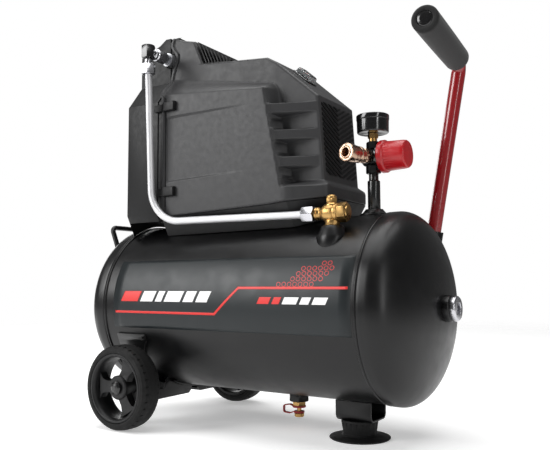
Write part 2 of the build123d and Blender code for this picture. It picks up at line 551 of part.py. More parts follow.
KNOB_LEFT, KNOB_RIGHT = 191.3, 229.5
KNOB_R = 20.2
with BuildPart() as regulator_knob:
    length = KNOB_RIGHT - KNOB_LEFT
    spin = spindle(at(KNOB_LEFT, 0, REGULATOR_Z), (1, 0, 0))
    lathe(spin, [(0, 19.4), (0, 21.6), (0.8, 22.3), (6.2, 22.3), (7.4, 21.4), (8.6, KNOB_R),
                 (length - 6, 19.2), (length - 2.2, 18.6), (length - 0.6, 17.4), (length, 15.0),
                 (length, 0), (8.0, 0), (8.0, 11.06), (2.0, 11.06), (2.0, 19.4)])
    ridge_count = 30
    for index in range(ridge_count):
        turn = radians(360 / ridge_count * index)
        groove = end_plane(KNOB_LEFT + 9.6, 21.0 * cos(turn), REGULATOR_Z + 21.0 * sin(turn))
        rod(groove, 1.35, length - 16.5, mode=Mode.SUBTRACT)
save("regulator_knob", regulator_knob.part)

GAUGE_BOTTOM, GAUGE_TOP = 409.6, 434.6
GAUGE_R = 22.4
with BuildPart() as gauge_stem:
    lathe(spindle(at(RISER_X, 0, 386.2), (0, 0, 1)),
          [(0, 0), (0, 3.95), (11.5, 3.95), (11.5, 5.6), (18.0, 5.6), (18.0, 4.8), (24.6, 4.8), (24.6, 0)])
    hexagon(level(402.6, RISER_X), 12.6, 6.8, turn=15)
save("gauge_stem", gauge_stem.part)

with BuildPart() as gauge_case:
    height = GAUGE_TOP - GAUGE_BOTTOM
    lathe(spindle(at(RISER_X, 0, GAUGE_BOTTOM), (0, 0, 1)),
          [(0, 4.85), (0, GAUGE_R - 1.8), (1.4, GAUGE_R - 0.8), (height - 7.2, GAUGE_R - 0.5),
           (height - 6.6, GAUGE_R), (height - 0.8, GAUGE_R), (height, GAUGE_R - 0.9), (height, GAUGE_R - 3.2),
           (height - 2.2, GAUGE_R - 3.2), (height - 2.2, GAUGE_R - 2.2), (1.6, GAUGE_R - 2.2), (1.6, 4.85)])
save("gauge_case", gauge_case.part)

DIAL_Z = GAUGE_TOP - 8.0
with BuildPart() as gauge_dial:
    lathe(spindle(at(RISER_X, 0, DIAL_Z), (0, 0, 1)),
          [(-1.0, 0), (-1.0, GAUGE_R - 2.3), (0, GAUGE_R - 2.3), (0, 1.2), (3.0, 1.2), (3.0, 0)])
save("gauge_dial", gauge_dial.part)

with BuildPart() as gauge_needle:
    with BuildSketch(level(DIAL_Z + 1.0, RISER_X)):
        with BuildLine():
            Polyline((-12.0, -12.8), (-13.0, -12.0), (-1.2, 1.4), (5.0, 6.4), (6.4, 5.0), (1.4, -1.2),
                     close=True)
        make_face()
        Circle(3.2)
        Circle(1.25, mode=Mode.SUBTRACT)
    extrude(amount=1.0)
save("gauge_needle", gauge_needle.part)

with BuildPart() as gauge_lens:
    lathe(spindle(at(RISER_X, 0, GAUGE_TOP - 4.4), (0, 0, 1)), [(0, 0), (0, GAUGE_R - 2.3),
                                                                (2.1, GAUGE_R - 2.3), (2.1, GAUGE_R - 3.3),
                                                                (3.0, GAUGE_R - 5), (3.0, 0)])
save("gauge_lens", gauge_lens.part)

SLEEVE_GAP = 0.08
coupler_axis = Plane(origin=COUPLER_START, x_dir=coupler_out, z_dir=(0, 0, 1))
with BuildPart() as coupler_body:
    # nipple into the regulator, hexagon, barrel with a ball groove, and the mouth
    lathe(coupler_axis, [(-7.9, 3.6), (-7.9, 4.95), (1.7, 4.95), (1.7, 9.0), (3.0, 9.4), (13.0, 9.4),
                         (13.0, 8.8), (35.0, 8.8), (35.0, 9.9), (38.5, 9.9), (38.5, 8.0), (47.0, 8.0),
                         (48.0, 7.2), (48.0, 6.2), (26.0, 6.2), (24.0, 3.6)])
    with BuildSketch(Plane(origin=COUPLER_START + coupler_out * 3.2, z_dir=coupler_out)):
        RegularPolygon(radius=10.6, side_count=6)
        Circle(8.0, mode=Mode.SUBTRACT)
    extrude(amount=8.6)
save("coupler_body", coupler_body.part)

with BuildPart() as coupler_sleeve:
    lathe(coupler_axis, [(18.4, 8.8 + SLEEVE_GAP), (18.4, 10.4), (19.4, 11.2), (23.5, 11.2), (24.4, 10.6),
                         (26.6, 10.6), (27.6, 11.4), (34.0, 11.4), (35.5, 12.4), (46.0, 12.4), (47.4, 11.6),
                         (47.4, 8.0 + SLEEVE_GAP), (43.4, 8.0 + SLEEVE_GAP), (43.4, 10.1), (29.8, 10.1),
                         (29.8, 8.8 + SLEEVE_GAP)])
save("coupler_sleeve", coupler_sleeve.part)

# ---------------------------------------------------------------- safety valve at the rear
with BuildPart() as safety_valve:
    hexagon(level(262.0, SAFETY_X, SAFETY_Y), 15.0, 7.0)
    lathe(spindle(at(SAFETY_X, SAFETY_Y, 248), (0, 0, 1)), [(0, 3.0), (0, 4.95), (14, 4.95), (14, 7.0),
                                                            (21, 7.0), (21, 6.6), (31.0, 6.6), (32.5, 5.4),
                                                            (32.5, 1.66), (16, 1.66), (16, 3.0)])
    rod(level(250.0, SAFETY_X, SAFETY_Y), 1.66, 40, mode=Mode.SUBTRACT)
save("safety_valve", safety_valve.part)

with BuildPart() as safety_ring:
    lathe(spindle(at(SAFETY_X, SAFETY_Y, 266), (0, 0, 1)), [(0, 0), (0, 1.6), (20.0, 1.6), (20.0, 0)])
    with BuildSketch(front_plane(SAFETY_Y + 0.9, SAFETY_X, 293.0)):
        Circle(8.0)
        Circle(6.2, mode=Mode.SUBTRACT)
    extrude(amount=1.8)
save("safety_ring", safety_ring.part)

# ---------------------------------------------------------------- cover
# Front view of the shroud's narrow upper part, from the split to the sloping right end.
SHROUD_LOW, PANEL_LOW = 312.0, 330.0
ROOF = [(COVER_SPLIT, SHROUD_LOW), (COVER_SPLIT, 594), (-117, 587), (-95, 581), (-17, 535.5), (41, 528.5),
        (57, 519), (122.5, 461), (130.5, 344), (130.5, SHROUD_LOW)]
LOUVRE_LEFT = (-95.0, 581.0)
LOUVRE_FOOT = (-77.0, 541.0)
# The broad main panel: its outer face, and where its bevel meets the neck.
PANEL_FACE = [(COVER_SPLIT, PANEL_LOW), (COVER_SPLIT, 493), (46, 474), (56, 464), (77, 350), (77, PANEL_LOW)]
PANEL_ROOT = [(COVER_SPLIT, PANEL_LOW), (COVER_SPLIT, 525), (40, 491), (66, 464), (84, 350), (84, PANEL_LOW)]
SKIRT_TOP, SKIRT_BOTTOM = 337.0, 305.0
SKIRT_END = 141.0
SKIRT_END_HALF = 57.0
BAR_LEVELS = [(438.5, 453.2), (400.6, 415.5), (363.2, 378.0)]
BAR_TIP = 122.0
PORT_HOLE_R = 12.0
GLAND_X, GLAND_Z, GLAND_NECK_R = 20.0, 330.0, 6.0

SWITCH_X, SWITCH_Y = 75.0, -8.0
SLOPE = (519 - 461) / (122.5 - 57)
SWITCH_Z = 519 - SLOPE * (SWITCH_X - 57)
roof_normal = Vector(SLOPE, 0, 1).normalized()
switch_plane = Plane(origin=at(SWITCH_X, SWITCH_Y, SWITCH_Z), x_dir=(0, 1, 0), z_dir=roof_normal)


def inset(points, amount, plane):
    """Face of an outline moved inwards by an amount."""
    with BuildSketch(plane, mode=Mode.PRIVATE) as outline:
        with BuildLine():
            Polyline(*points, close=True)
        make_face()
        if amount:
            offset(amount=-amount, kind=Kind.INTERSECTION, mode=Mode.REPLACE)
    return outline.sketch


def reach_out(points, wall, low):
    """An outline whose cavity copy runs past the split and the open bottom, so that both stay open."""
    if not wall:
        return points
    return [(x - (10 if x == COVER_SPLIT else 0), z - (30 if z == low else 0)) for x, z in points]


def shroud_body(wall=0.0):
    """Outside of the shroud (wall 0) or its cavity (wall thickness)."""
    neck = COVER_NECK - wall
    broad = COVER_HALF - wall
    start = COVER_SPLIT - (10 if wall else 0)
    bottom = SKIRT_BOTTOM - (30 if wall else 0)
    shoulder_z = SKIRT_TOP - wall * 0.4
    with BuildPart(mode=Mode.PRIVATE) as body:
        extrude(inset(reach_out(ROOF, wall, SHROUD_LOW), wall, front_plane(0)), amount=neck, both=True)
        for front in (1, -1):
            face_plane = Plane(origin=at(0, -front * broad, 0), x_dir=(1, 0, 0), z_dir=(0, -1, 0))
            root_plane = Plane(origin=at(0, -front * neck * 0.98, 0), x_dir=(1, 0, 0), z_dir=(0, -1, 0))
            loft([inset(reach_out(PANEL_FACE, wall, PANEL_LOW), wall, face_plane).face(),
                  inset(reach_out(PANEL_ROOT, wall, PANEL_LOW), wall, root_plane).face()], ruled=True)
        skirt = [(start, -COVER_HALF), (88, -COVER_HALF), (SKIRT_END, -SKIRT_END_HALF),
                 (SKIRT_END, SKIRT_END_HALF), (88, COVER_HALF), (start, COVER_HALF)]
        shoulder = [(start, -COVER_HALF + 1), (78, -COVER_HALF + 1), (SKIRT_END - 10.5, -SKIRT_END_HALF + 6),
                    (SKIRT_END - 10.5, SKIRT_END_HALF - 6), (78, COVER_HALF - 1), (start, COVER_HALF - 1)]
        extrude(inset(skirt, wall, level(bottom)), amount=shoulder_z - bottom)
        loft([inset(skirt, wall, level(shoulder_z)).face(),
              inset(shoulder, wall, level(shoulder_z + 8)).face()], ruled=True)
    return body.part


with BuildPart() as shroud:
    add(shroud_body())
    add(shroud_body(COVER_WALL), mode=Mode.SUBTRACT)
    # bottom edge rises towards the right end
    slab(front_plane(100), [(COVER_SPLIT - 1, 280), (COVER_SPLIT - 1, 306), (60, 313), (150, 320),
                            (150, 280)], 200, mode=Mode.SUBTRACT)
    # wedge bars over the side vents
    for low, high in BAR_LEVELS:
        for front in (1, -1):
            inner_x = 62 + (453 - high) * 0.18
            wedge = [(inner_x, -front * (COVER_HALF - 3.6)),
                     (BAR_TIP + (453 - high) * 0.06, -front * COVER_NECK),
                     (BAR_TIP + (453 - high) * 0.06, -front * (COVER_NECK - COVER_WALL)),
                     (inner_x, -front * (COVER_NECK - COVER_WALL))]
            slab(level(low), wedge, high - low)
    # vent slots between the bars, beside the main panel
    for low, high in ((419, 436), (381.5, 398), (350, 361)):
        slot_left = 66 + (453 - high) * 0.16
        slab(front_plane(100), [(slot_left, low), (slot_left, high), (slot_left + 17, high),
                                (slot_left + 17, low)], 200, mode=Mode.SUBTRACT)
    # wide window for the end grille, and the roof louvre opening
    slab(end_plane(110), [(-45, 352), (-45, 454), (45, 454), (45, 352)], 40, mode=Mode.SUBTRACT)
    slab(front_plane(100), [(-92.5, 585), (-75.0, 540.8), (-24, 535.4), (-14, 545)], 200, mode=Mode.SUBTRACT)
    # holes for the head fitting, the cable gland and the switch
    rod(front_plane(0, PIPE_X, ELBOW_Z), PORT_HOLE_R, 90, mode=Mode.SUBTRACT)
    rod(front_plane(100, GLAND_X, GLAND_Z), GLAND_NECK_R + 0.1, 100, mode=Mode.SUBTRACT)
    block(switch_plane.offset(-20), 17.2, 23.2, 40, mode=Mode.SUBTRACT)
save("shroud", shroud.part)

LEFT_LOW = 276.0
LEFT_SECTION = [(-66, LEFT_LOW), (-COVER_HALF, 312), (-COVER_HALF, 485), (-COVER_NECK, 523),
                (-COVER_NECK, 600), (COVER_NECK, 600), (COVER_NECK, 523), (COVER_HALF, 485),
                (COVER_HALF, 312), (66, LEFT_LOW)]
LEFT_ROOF = [(COVER_LEFT - 1, 610), (COVER_LEFT - 1, 572), (COVER_LEFT, 573), (-166, 587), (-153, 595),
             (-140, 594.5), (-100, 594.5), (-100, 610)]
LEFT_END = -143.0
COLLAR_TOP = 595.0
END_WALL = 4.0           # thicker, because its rim is chamfered
COLLAR_BITE = 0.8        # the collar runs this deep into the shell's own wall


def left_body(wall=0.0):
    """Outside of the left shell, or its cavity."""
    with BuildPart(mode=Mode.PRIVATE) as body:
        section = [(y, z - (30 if wall and z == LEFT_LOW else 0)) for y, z in LEFT_SECTION]
        start = COVER_LEFT + (END_WALL if wall else 0)
        extrude(inset(section, wall, end_plane(start)), amount=LEFT_END - start + (10 if wall else 0))
        roof = [(x, z - wall) for x, z in LEFT_ROOF]
        slab(front_plane(120), roof, 240, mode=Mode.SUBTRACT)
        if not wall:
            chamfer(body.faces().sort_by(Axis.X)[0].edges(), 4)
    return body.part


def left_collar():
    """Recessed collar that reaches behind the split, up to the shroud's edge."""
    start = LEFT_END - 6
    length = COVER_SPLIT - 0.3 - start
    section = [(y, min(z, COLLAR_TOP)) for y, z in LEFT_SECTION]
    with BuildPart(mode=Mode.PRIVATE) as collar:
        extrude(inset(section, COVER_WALL - COLLAR_BITE, end_plane(start)), amount=length)
        extrude(inset(section, 2 * COVER_WALL, end_plane(start)), amount=length, mode=Mode.SUBTRACT)
        slab(front_plane(120), [(-200, 280), (-200, 322), (-100, 322), (-100, 280)], 240, mode=Mode.SUBTRACT)
    return collar.part


with BuildPart() as left_shell:
    add(left_body())
    add(left_body(COVER_WALL), mode=Mode.SUBTRACT)
    add(left_collar())
    rod(end_plane(COVER_LEFT - 10, 0, AXIS_Z), TANK_R + LIP_STEP + 1.2, 100, mode=Mode.SUBTRACT)
    rod(front_plane(0, PIPE_X, ELBOW_Z), PORT_HOLE_R, 90, mode=Mode.SUBTRACT)
save("left_shell", left_shell.part)


with BuildPart() as top_grille:
    # leaning fins across the cover, standing on a sloping floor plate
    floor_half = COVER_NECK - COVER_WALL - 0.1
    slab(front_plane(floor_half), [(-74.0, 543.4), (-26.0, 538.1), (-26.0, 535.2), (-74.0, 540.5)],
         2 * floor_half)
    fin_count = 9
    run_x, rise_z = LOUVRE_FOOT[0] - LOUVRE_LEFT[0], LOUVRE_FOOT[1] - LOUVRE_LEFT[1]
    for index in range(fin_count):
        share = (index + 0.35) / fin_count
        foot_x = LOUVRE_FOOT[0] + 3 + share * 52
        foot_z = 542.6 - share * 5.2
        top_share = (1 - share) * 0.93
        top = (foot_x - run_x * top_share, foot_z - rise_z * top_share)
        slab(front_plane(COVER_NECK - 0.6), [(foot_x, foot_z), top, (top[0] + 2.2, top[1] - 1.3),
                                             (foot_x + 2.2, foot_z - 0.6)], 2 * (COVER_NECK - 0.6))
save("top_grille", top_grille.part)

END_SLOPE = (130.5 - 122.5) / (461 - 344)
with BuildPart() as end_grille:
    # a dark panel with herringbone ribs that fills the window in the right end
    tilt = Vector(1, 0, END_SLOPE).normalized()
    face_middle = Vector(*at(126.2, 0, 403))
    panel_plane = Plane(origin=face_middle, x_dir=(0, 1, 0), z_dir=tilt)
    half_width, half_height = 44.8, 50.6
    with BuildSketch(panel_plane):
        Rectangle(2 * half_width, 2 * half_height)
    extrude(amount=-2.4)
    rib_pitch, rib_drop = 7.0, 22.0
    for index in range(17):
        low = -half_height - 20 + rib_pitch * (index + 0.5)
        with BuildSketch(panel_plane):
            with BuildLine():
                Polyline((-half_width, low + rib_drop), (0, low), (half_width, low + rib_drop),
                         (half_width, low + rib_drop + 3.2), (0, low + 3.2),
                         (-half_width, low + rib_drop + 3.2), close=True)
            make_face()
            Rectangle(2 * half_width - 0.4, 2 * half_height - 0.4, mode=Mode.INTERSECT)
        extrude(amount=1.6)
save("end_grille", end_grille.part)

with BuildPart() as shell_clips:
    # two moulded clips bridge the split at the front, and two at the rear
    for clip_z in (474.0, 344.0):
        for front in (1, -1):
            thin = Plane(origin=at((LEFT_END + COVER_SPLIT) / 2, -front * (COVER_HALF + 0.1), clip_z),
                         x_dir=(1, 0, 0), z_dir=(0, -front, 0))
            with BuildSketch(thin):
                with Locations((4, 0)):
                    Rectangle(34, 11)
            extrude(amount=3.0)
            with BuildSketch(thin):
                with Locations((19, 0)):
                    Rectangle(22, 15)
            extrude(amount=6.5, taper=8)
save("shell_clips", shell_clips.part)

# ---------------------------------------------------------------- rocker switch on the sloping roof
with BuildPart() as switch_bezel:
    with BuildSketch(switch_plane):
        RectangleRounded(27, 33, 3)
        Rectangle(17.2, 23.2, mode=Mode.SUBTRACT)
    extrude(amount=2.0)
save("switch_bezel", switch_bezel.part)

with BuildPart() as switch_rocker:
    slope_down = tuple(switch_plane.y_dir)
    rocker_side = switch_plane.y_dir.cross(roof_normal)
    slab(Plane(origin=switch_plane.origin - rocker_side * 8.2, x_dir=slope_down,
               z_dir=tuple(rocker_side * -1)), [(-10.4, 0.6), (-10.8, 6.0), (0, 4.2), (10.8, 6.0),
                                                (10.4, 0.6)], -16.4)
save("switch_rocker", switch_rocker.part)

with BuildPart() as switch_boot:
    with BuildSketch(switch_plane.offset(2.1)):
        RectangleRounded(24, 30, 5)
    extrude(amount=8.2, taper=14)
    fillet(switch_boot.faces().sort_by(Axis(switch_plane.origin, roof_normal))[-1].edges(), 3.0)
    with BuildSketch(switch_plane.offset(2.0)):
        RectangleRounded(22, 28, 4)
    extrude(amount=7.4, taper=14, mode=Mode.SUBTRACT)
save("switch_boot", switch_boot.part)

with BuildPart() as cable_gland:
    lathe(spindle(at(GLAND_X, COVER_HALF - 6, GLAND_Z), (0, 1, 0)), [(0, 0), (0, GLAND_NECK_R),
                                                                     (6.1, GLAND_NECK_R), (6.1, 9.5),
                                                                     (9.0, 9.5), (11.0, 8.0), (26.0, 6.0),
                                                                     (28.0, 5.2), (28.0, 3.6), (10.0, 3.6),
                                                                     (10.0, 0)])
save("cable_gland", cable_gland.part)

# ---------------------------------------------------------------- platform, tray, pump and motor
with BuildPart() as motor_platform:
    block(level(302.5, -40), 300, 110, 3.5)
    for leg_x in (-150.0, 90.0):
        slab(end_plane(leg_x), [(-52, 303), (-52, 270), (52, 270), (52, 303)], 4.0)
    add(tank_outside(FIT_GAP), mode=Mode.SUBTRACT)
save("motor_platform", motor_platform.part)

TRAY_FOOT, TRAY_TOP = 275.0, 321.0
TRAY_WALL = 2.5
BRIM_GAP = 0.6           # between the tray's brim and the cover's lower edge


def tray_skirt(wall):
    """Tapered skirt that carries the cover's sides down and inwards to the tank; wall moves it inwards."""
    foot = [(-134.6 - wall, -65), (90, -60), (122, -40), (122, 40), (90, 60), (-134.6 - wall, 65)]
    brim = [(-134.6 - wall, -91), (88, -84), (140, -56.5), (140, 56.5), (88, 84), (-134.6 - wall, 91)]
    drop = BRIM_GAP + wall
    with BuildPart(mode=Mode.PRIVATE) as skirt:
        loft([inset(foot, wall, level(TRAY_FOOT)).face(), inset(brim, wall, level(TRAY_TOP)).face()],
             ruled=True)
        slab(front_plane(100), [(-150, 330), (-150, 305.5 - drop), (60, 313 - drop), (150, 320 - drop),
                                (150, 330)], 200, mode=Mode.SUBTRACT)
    return skirt.part


with BuildPart() as base_tray:
    add(tray_skirt(0))
    add(tray_skirt(TRAY_WALL), mode=Mode.SUBTRACT)
    # a smaller tray stands up inside the cover, over the motor platform
    low = [(-200, -58), (98, -58), (120, -44), (120, 44), (98, 58), (-200, 58)]
    high = [(-204, -78), (84, -78), (136, -54), (136, 54), (84, 78), (-204, 78)]
    loft([inset(low, 0, level(306.1)).face(), inset(high, 0, level(TRAY_TOP)).face()], ruled=True)
    loft([inset(low, 3.0, level(308.6)).face(), inset(high, 3.0, level(TRAY_TOP + 0.5)).face()], ruled=True,
         mode=Mode.SUBTRACT)
    block(level(298, -40), 301, 111, 8.1, mode=Mode.SUBTRACT)
    add(tank_outside(1.2), mode=Mode.SUBTRACT)
save("base_tray", base_tray.part)

MOTOR_R = 60.0
MOTOR_LEFT, MOTOR_RIGHT = -62.0, 62.0
SHAFT_R = 8.0
with BuildPart() as motor_stator:
    length = MOTOR_RIGHT - MOTOR_LEFT
    lathe(spindle(at(MOTOR_LEFT, 0, CRANK_Z), (1, 0, 0)),
          [(0, 20.05), (0, MOTOR_R - 12), (10, MOTOR_R), (length - 10, MOTOR_R), (length, MOTOR_R - 12),
           (length, 20.05), (length - 8, 20.05), (length - 8, 36.0), (8, 36.0), (8, 20.05)])
    block(level(308.8), 70, 76, CRANK_Z - 308.8 - MOTOR_R + 12)
    rod(end_plane(MOTOR_LEFT + 8, 0, CRANK_Z), 36.0, length - 16, mode=Mode.SUBTRACT)
save("motor_stator", motor_stator.part)

with BuildPart() as motor_bearings:
    for bearing_x in (MOTOR_LEFT, MOTOR_RIGHT - 8):
        lathe(spindle(at(bearing_x, 0, CRANK_Z), (1, 0, 0)),
              [(0, SHAFT_R + 0.05), (0, 20.0), (8, 20.0), (8, SHAFT_R + 0.05)])
save("motor_bearings", motor_bearings.part)

with BuildPart() as motor_rotor:
    lathe(spindle(at(0, 0, CRANK_Z), (1, 0, 0)),
          [(-172, 0), (-172, SHAFT_R), (-50, SHAFT_R), (-50, 35.0), (50, 35.0), (50, SHAFT_R), (96, SHAFT_R),
           (96, 0)])
save("motor_rotor", motor_rotor.part)

with BuildPart() as cooling_fan:
    lathe(spindle(at(76, 0, CRANK_Z), (1, 0, 0)),
          [(0, SHAFT_R + FIT_GAP), (0, 14), (2, 40), (4, 40), (6, 14), (16, 13), (16, SHAFT_R + FIT_GAP)])
    blade_count = 9
    for index in range(blade_count):
        turn = radians(360 / blade_count * index)
        blade = Plane(origin=at(79.5, 26 * cos(turn), CRANK_Z + 26 * sin(turn)),
                      x_dir=(0, cos(turn), sin(turn)), z_dir=(1, 0, 0))
        block(blade, 27, 2.2, 13)
save("cooling_fan", cooling_fan.part)

ECCENTRIC = 10.0
ROD_LEFT = PUMP_X - 7.0
with BuildPart() as eccentric:
    rod(end_plane(ROD_LEFT, 0, CRANK_Z + ECCENTRIC), 21.0, 14)
    rod(end_plane(ROD_LEFT - 1, 0, CRANK_Z), SHAFT_R + 0.05, 16, mode=Mode.SUBTRACT)
save("eccentric", eccentric.part)

CYLINDER_FOOT, CYLINDER_TOP = 452.0, 532.0
BORE_R = 32.0
with BuildPart() as wobble_piston:
    rod(end_plane(ROD_LEFT, 0, CRANK_Z + ECCENTRIC), 29.0, 14)
    block(level(CRANK_Z + ECCENTRIC + 20, PUMP_X), 12, 18, 96)
    lathe(spindle(at(PUMP_X, 0, 518), (0, 0, 1)), [(0, 0), (0, BORE_R - 2), (3, BORE_R - 0.06),
                                                   (8, BORE_R - 0.06), (8, 0)])
    rod(end_plane(ROD_LEFT - 1, 0, CRANK_Z + ECCENTRIC), 21.05, 16, mode=Mode.SUBTRACT)
save("wobble_piston", wobble_piston.part)

with BuildPart() as cylinder:
    rod(level(CYLINDER_FOOT, PUMP_X), 36.0, CYLINDER_TOP - CYLINDER_FOOT)
    for index in range(6):
        rod(level(CYLINDER_FOOT + 12 + 11 * index, PUMP_X), 43.0, 2.5)
    rod(level(CYLINDER_FOOT - 1, PUMP_X), BORE_R, 100, mode=Mode.SUBTRACT)
    slab(end_plane(PUMP_X - 60), [(-60, 400), (-60, 600), (60, 600), (60, 400)], 14.5, mode=Mode.SUBTRACT)
save("cylinder", cylinder.part)

with BuildPart() as crankcase:
    block(level(308.8, PUMP_X), 68, 96, CYLINDER_FOOT - 308.8 - 0.1)
    block(level(346, PUMP_X), 56, 74, 120, mode=Mode.SUBTRACT)
    rod(end_plane(PUMP_X + 20, 0, CRANK_Z), SHAFT_R + 3, 40, mode=Mode.SUBTRACT)
    block(level(440, PUMP_X), 56, 66, 20, mode=Mode.SUBTRACT)
save("crankcase", crankcase.part)

with BuildPart() as cylinder_head:
    block(level(CYLINDER_TOP + 0.1, PUMP_X + 1), 82, 92, 30)
    for index in range(7):
        block(level(CYLINDER_TOP + 30, PUMP_X + 1, -42 + 14 * index), 76, 3.0, 10)
    rod(front_plane(-40, PIPE_X, ELBOW_Z), 10.5, 23.9)
    rod(front_plane(-30, PIPE_X, ELBOW_Z), 5, 60, mode=Mode.SUBTRACT)
save("cylinder_head", cylinder_head.part)
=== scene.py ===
"""Portable air compressor: surfaces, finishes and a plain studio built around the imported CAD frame."""
import json
import math

import bmesh
import bpy
import numpy as np
from mathutils import Matrix, Vector


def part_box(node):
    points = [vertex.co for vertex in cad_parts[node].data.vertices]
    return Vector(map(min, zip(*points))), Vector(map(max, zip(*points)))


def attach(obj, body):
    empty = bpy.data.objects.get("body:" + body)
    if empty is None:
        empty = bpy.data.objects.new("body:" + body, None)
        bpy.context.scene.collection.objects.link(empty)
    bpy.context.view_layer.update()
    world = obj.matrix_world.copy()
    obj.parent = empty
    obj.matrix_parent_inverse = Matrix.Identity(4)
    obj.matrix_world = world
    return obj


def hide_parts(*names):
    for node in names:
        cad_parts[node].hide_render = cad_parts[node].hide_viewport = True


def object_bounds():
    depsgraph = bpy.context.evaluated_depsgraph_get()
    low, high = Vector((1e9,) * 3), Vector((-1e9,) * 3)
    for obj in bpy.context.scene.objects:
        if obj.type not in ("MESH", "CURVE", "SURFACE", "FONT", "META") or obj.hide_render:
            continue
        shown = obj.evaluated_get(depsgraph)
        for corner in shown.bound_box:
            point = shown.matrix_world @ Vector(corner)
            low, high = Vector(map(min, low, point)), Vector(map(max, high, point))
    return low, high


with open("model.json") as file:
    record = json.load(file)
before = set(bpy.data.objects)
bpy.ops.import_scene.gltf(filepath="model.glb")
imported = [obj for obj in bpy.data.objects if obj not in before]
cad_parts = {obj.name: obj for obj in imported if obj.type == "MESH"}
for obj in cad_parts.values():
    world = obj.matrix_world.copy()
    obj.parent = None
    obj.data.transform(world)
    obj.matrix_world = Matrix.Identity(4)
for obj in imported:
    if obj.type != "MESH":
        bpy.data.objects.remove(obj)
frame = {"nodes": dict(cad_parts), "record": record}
cad_low, cad_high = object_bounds()
nodes = frame["nodes"]
MM = 0.001


def box_middle(node):
    """Middle of a CAD node's box, in metres."""
    low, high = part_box(node)
    return (low + high) / 2


TANK = box_middle("tank_shell")      # the tank's middle, on its axis
TANK_LOW, TANK_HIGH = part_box("tank_shell")
TANK_R = (TANK_HIGH.z - TANK_LOW.z) / 2
FLOOR_Z = cad_low[2]


# ---------------------------------------------------------------- materials
def linear(code):
    """An sRGB hex colour as linear red, green, blue and alpha."""
    parts = [int(code[i:i + 2], 16) / 255 for i in (1, 3, 5)]
    return (*[c / 12.92 if c <= 0.04045 else ((c + 0.055) / 1.055) ** 2.4 for c in parts], 1.0)


def add(owner, kind, values=None, **settings):
    """A node with its settings, its socket values and its links: a linked value is an output socket."""
    tree = owner.node_tree
    node = tree.nodes.new(kind)
    for key, value in settings.items():
        setattr(node, key, value)
    for key, value in (values or {}).items():
        if isinstance(value, bpy.types.NodeSocket):
            tree.links.new(value, node.inputs[key])
        else:
            node.inputs[key].default_value = value
    return node


def material(name, colour, **shader):
    """A principled material with uniform values set on the shader's own sockets."""
    made = bpy.data.materials.new(name)
    made.use_nodes = True
    bsdf = made.node_tree.nodes["Principled BSDF"]
    bsdf.inputs["Base Color"].default_value = linear(colour)
    for key, value in shader.items():
        bsdf.inputs[key.replace("_", " ")].default_value = value
    made.diffuse_color = linear(colour)
    return made


def grain(made, size, depth, roughness=None, kind="noise", tint=None):
    """Bump of a given grain size and depth in metres, with an optional range of roughness and of colour."""
    bsdf = made.node_tree.nodes["Principled BSDF"]
    where = add(made, "ShaderNodeTexCoord").outputs["Object"]
    if kind == "noise":
        pattern = add(made, "ShaderNodeTexNoise", {"Vector": where, "Scale": 1 / size, "Detail": 3.0})
        height = pattern.outputs[0]
    else:
        pattern = add(made, "ShaderNodeTexVoronoi", {"Vector": where, "Scale": 1 / size})
        height = pattern.outputs["Distance"]
    bump = add(made, "ShaderNodeBump", {"Height": height, "Strength": 1.0, "Distance": depth})
    made.node_tree.links.new(bump.outputs[0], bsdf.inputs["Normal"])
    if roughness:
        broad = add(made, "ShaderNodeTexNoise", {"Vector": where, "Scale": 0.12 / size, "Detail": 2.0})
        spread = add(made, "ShaderNodeMapRange", {"Value": broad.outputs[0], "From Min": 0.3, "From Max": 0.7,
                                                  "To Min": roughness[0], "To Max": roughness[1]})
        made.node_tree.links.new(spread.outputs[0], bsdf.inputs["Roughness"])
    if tint:
        ramp = add(made, "ShaderNodeValToRGB", {"Fac": height})
        ramp.color_ramp.elements[0].color = linear(tint[0])
        ramp.color_ramp.elements[1].color = linear(tint[1])
        made.node_tree.links.new(ramp.outputs[0], bsdf.inputs["Base Color"])
    return made


# Baked powder coat on steel: faint orange peel, about 2 mm across, softens the reflections.
TANK_COAT = grain(
    material("black_powder_coat", "#060607", Roughness=0.34, Specular_IOR_Level=0.36),
    2.2 * MM, 0.012 * MM, roughness=(0.30, 0.38))
# Thick glossy red powder coat with a clear layer.
RED_COAT = grain(
    material("red_powder_coat", "#8e0a12", Roughness=0.3, Coat_Weight=0.8, Coat_Roughness=0.08),
    2.6 * MM, 0.010 * MM, roughness=(0.24, 0.32))
# Black satin steel of small turned and bent parts.
BLACK_STEEL = grain(
    material("blackened_steel", "#0b0b0c", Roughness=0.26, Coat_Weight=0.3, Coat_Roughness=0.15),
    1.2 * MM, 0.006 * MM, roughness=(0.22, 0.32))
# Injection-moulded ABS with a spark-eroded grain; the real grain is 0.3 mm, drawn coarser so that it shows.
COVER_ABS = grain(
    material("moulded_abs", "#333334", Roughness=0.5, Specular_IOR_Level=0.34),
    0.9 * MM, 0.035 * MM, roughness=(0.43, 0.52), tint=("#303031", "#363637"))
# The same grained ABS with painted shade: its colour is darkened to stand in for the shade on the left shell,
# the tray and the clips.
SHADED_COVER_ABS = grain(
    material("painted_shade_abs", "#101011", Roughness=0.55, Specular_IOR_Level=0.3),
    0.9 * MM, 0.035 * MM, roughness=(0.46, 0.56), tint=("#0f0f10", "#131314"))
# Unpainted black polypropylene of the grilles.
GRILLE_PP = grain(
    material("black_polypropylene", "#060607", Roughness=0.55, Specular_IOR_Level=0.25),
    0.8 * MM, 0.02 * MM, roughness=(0.45, 0.6))
# ABS from a polished mould: a small, clear highlight.
GLOSS_BLACK = grain(
    material("glossy_black_abs", "#070708", Roughness=0.18, Coat_Weight=0.5, Coat_Roughness=0.08),
    3.0 * MM, 0.006 * MM, roughness=(0.15, 0.24))
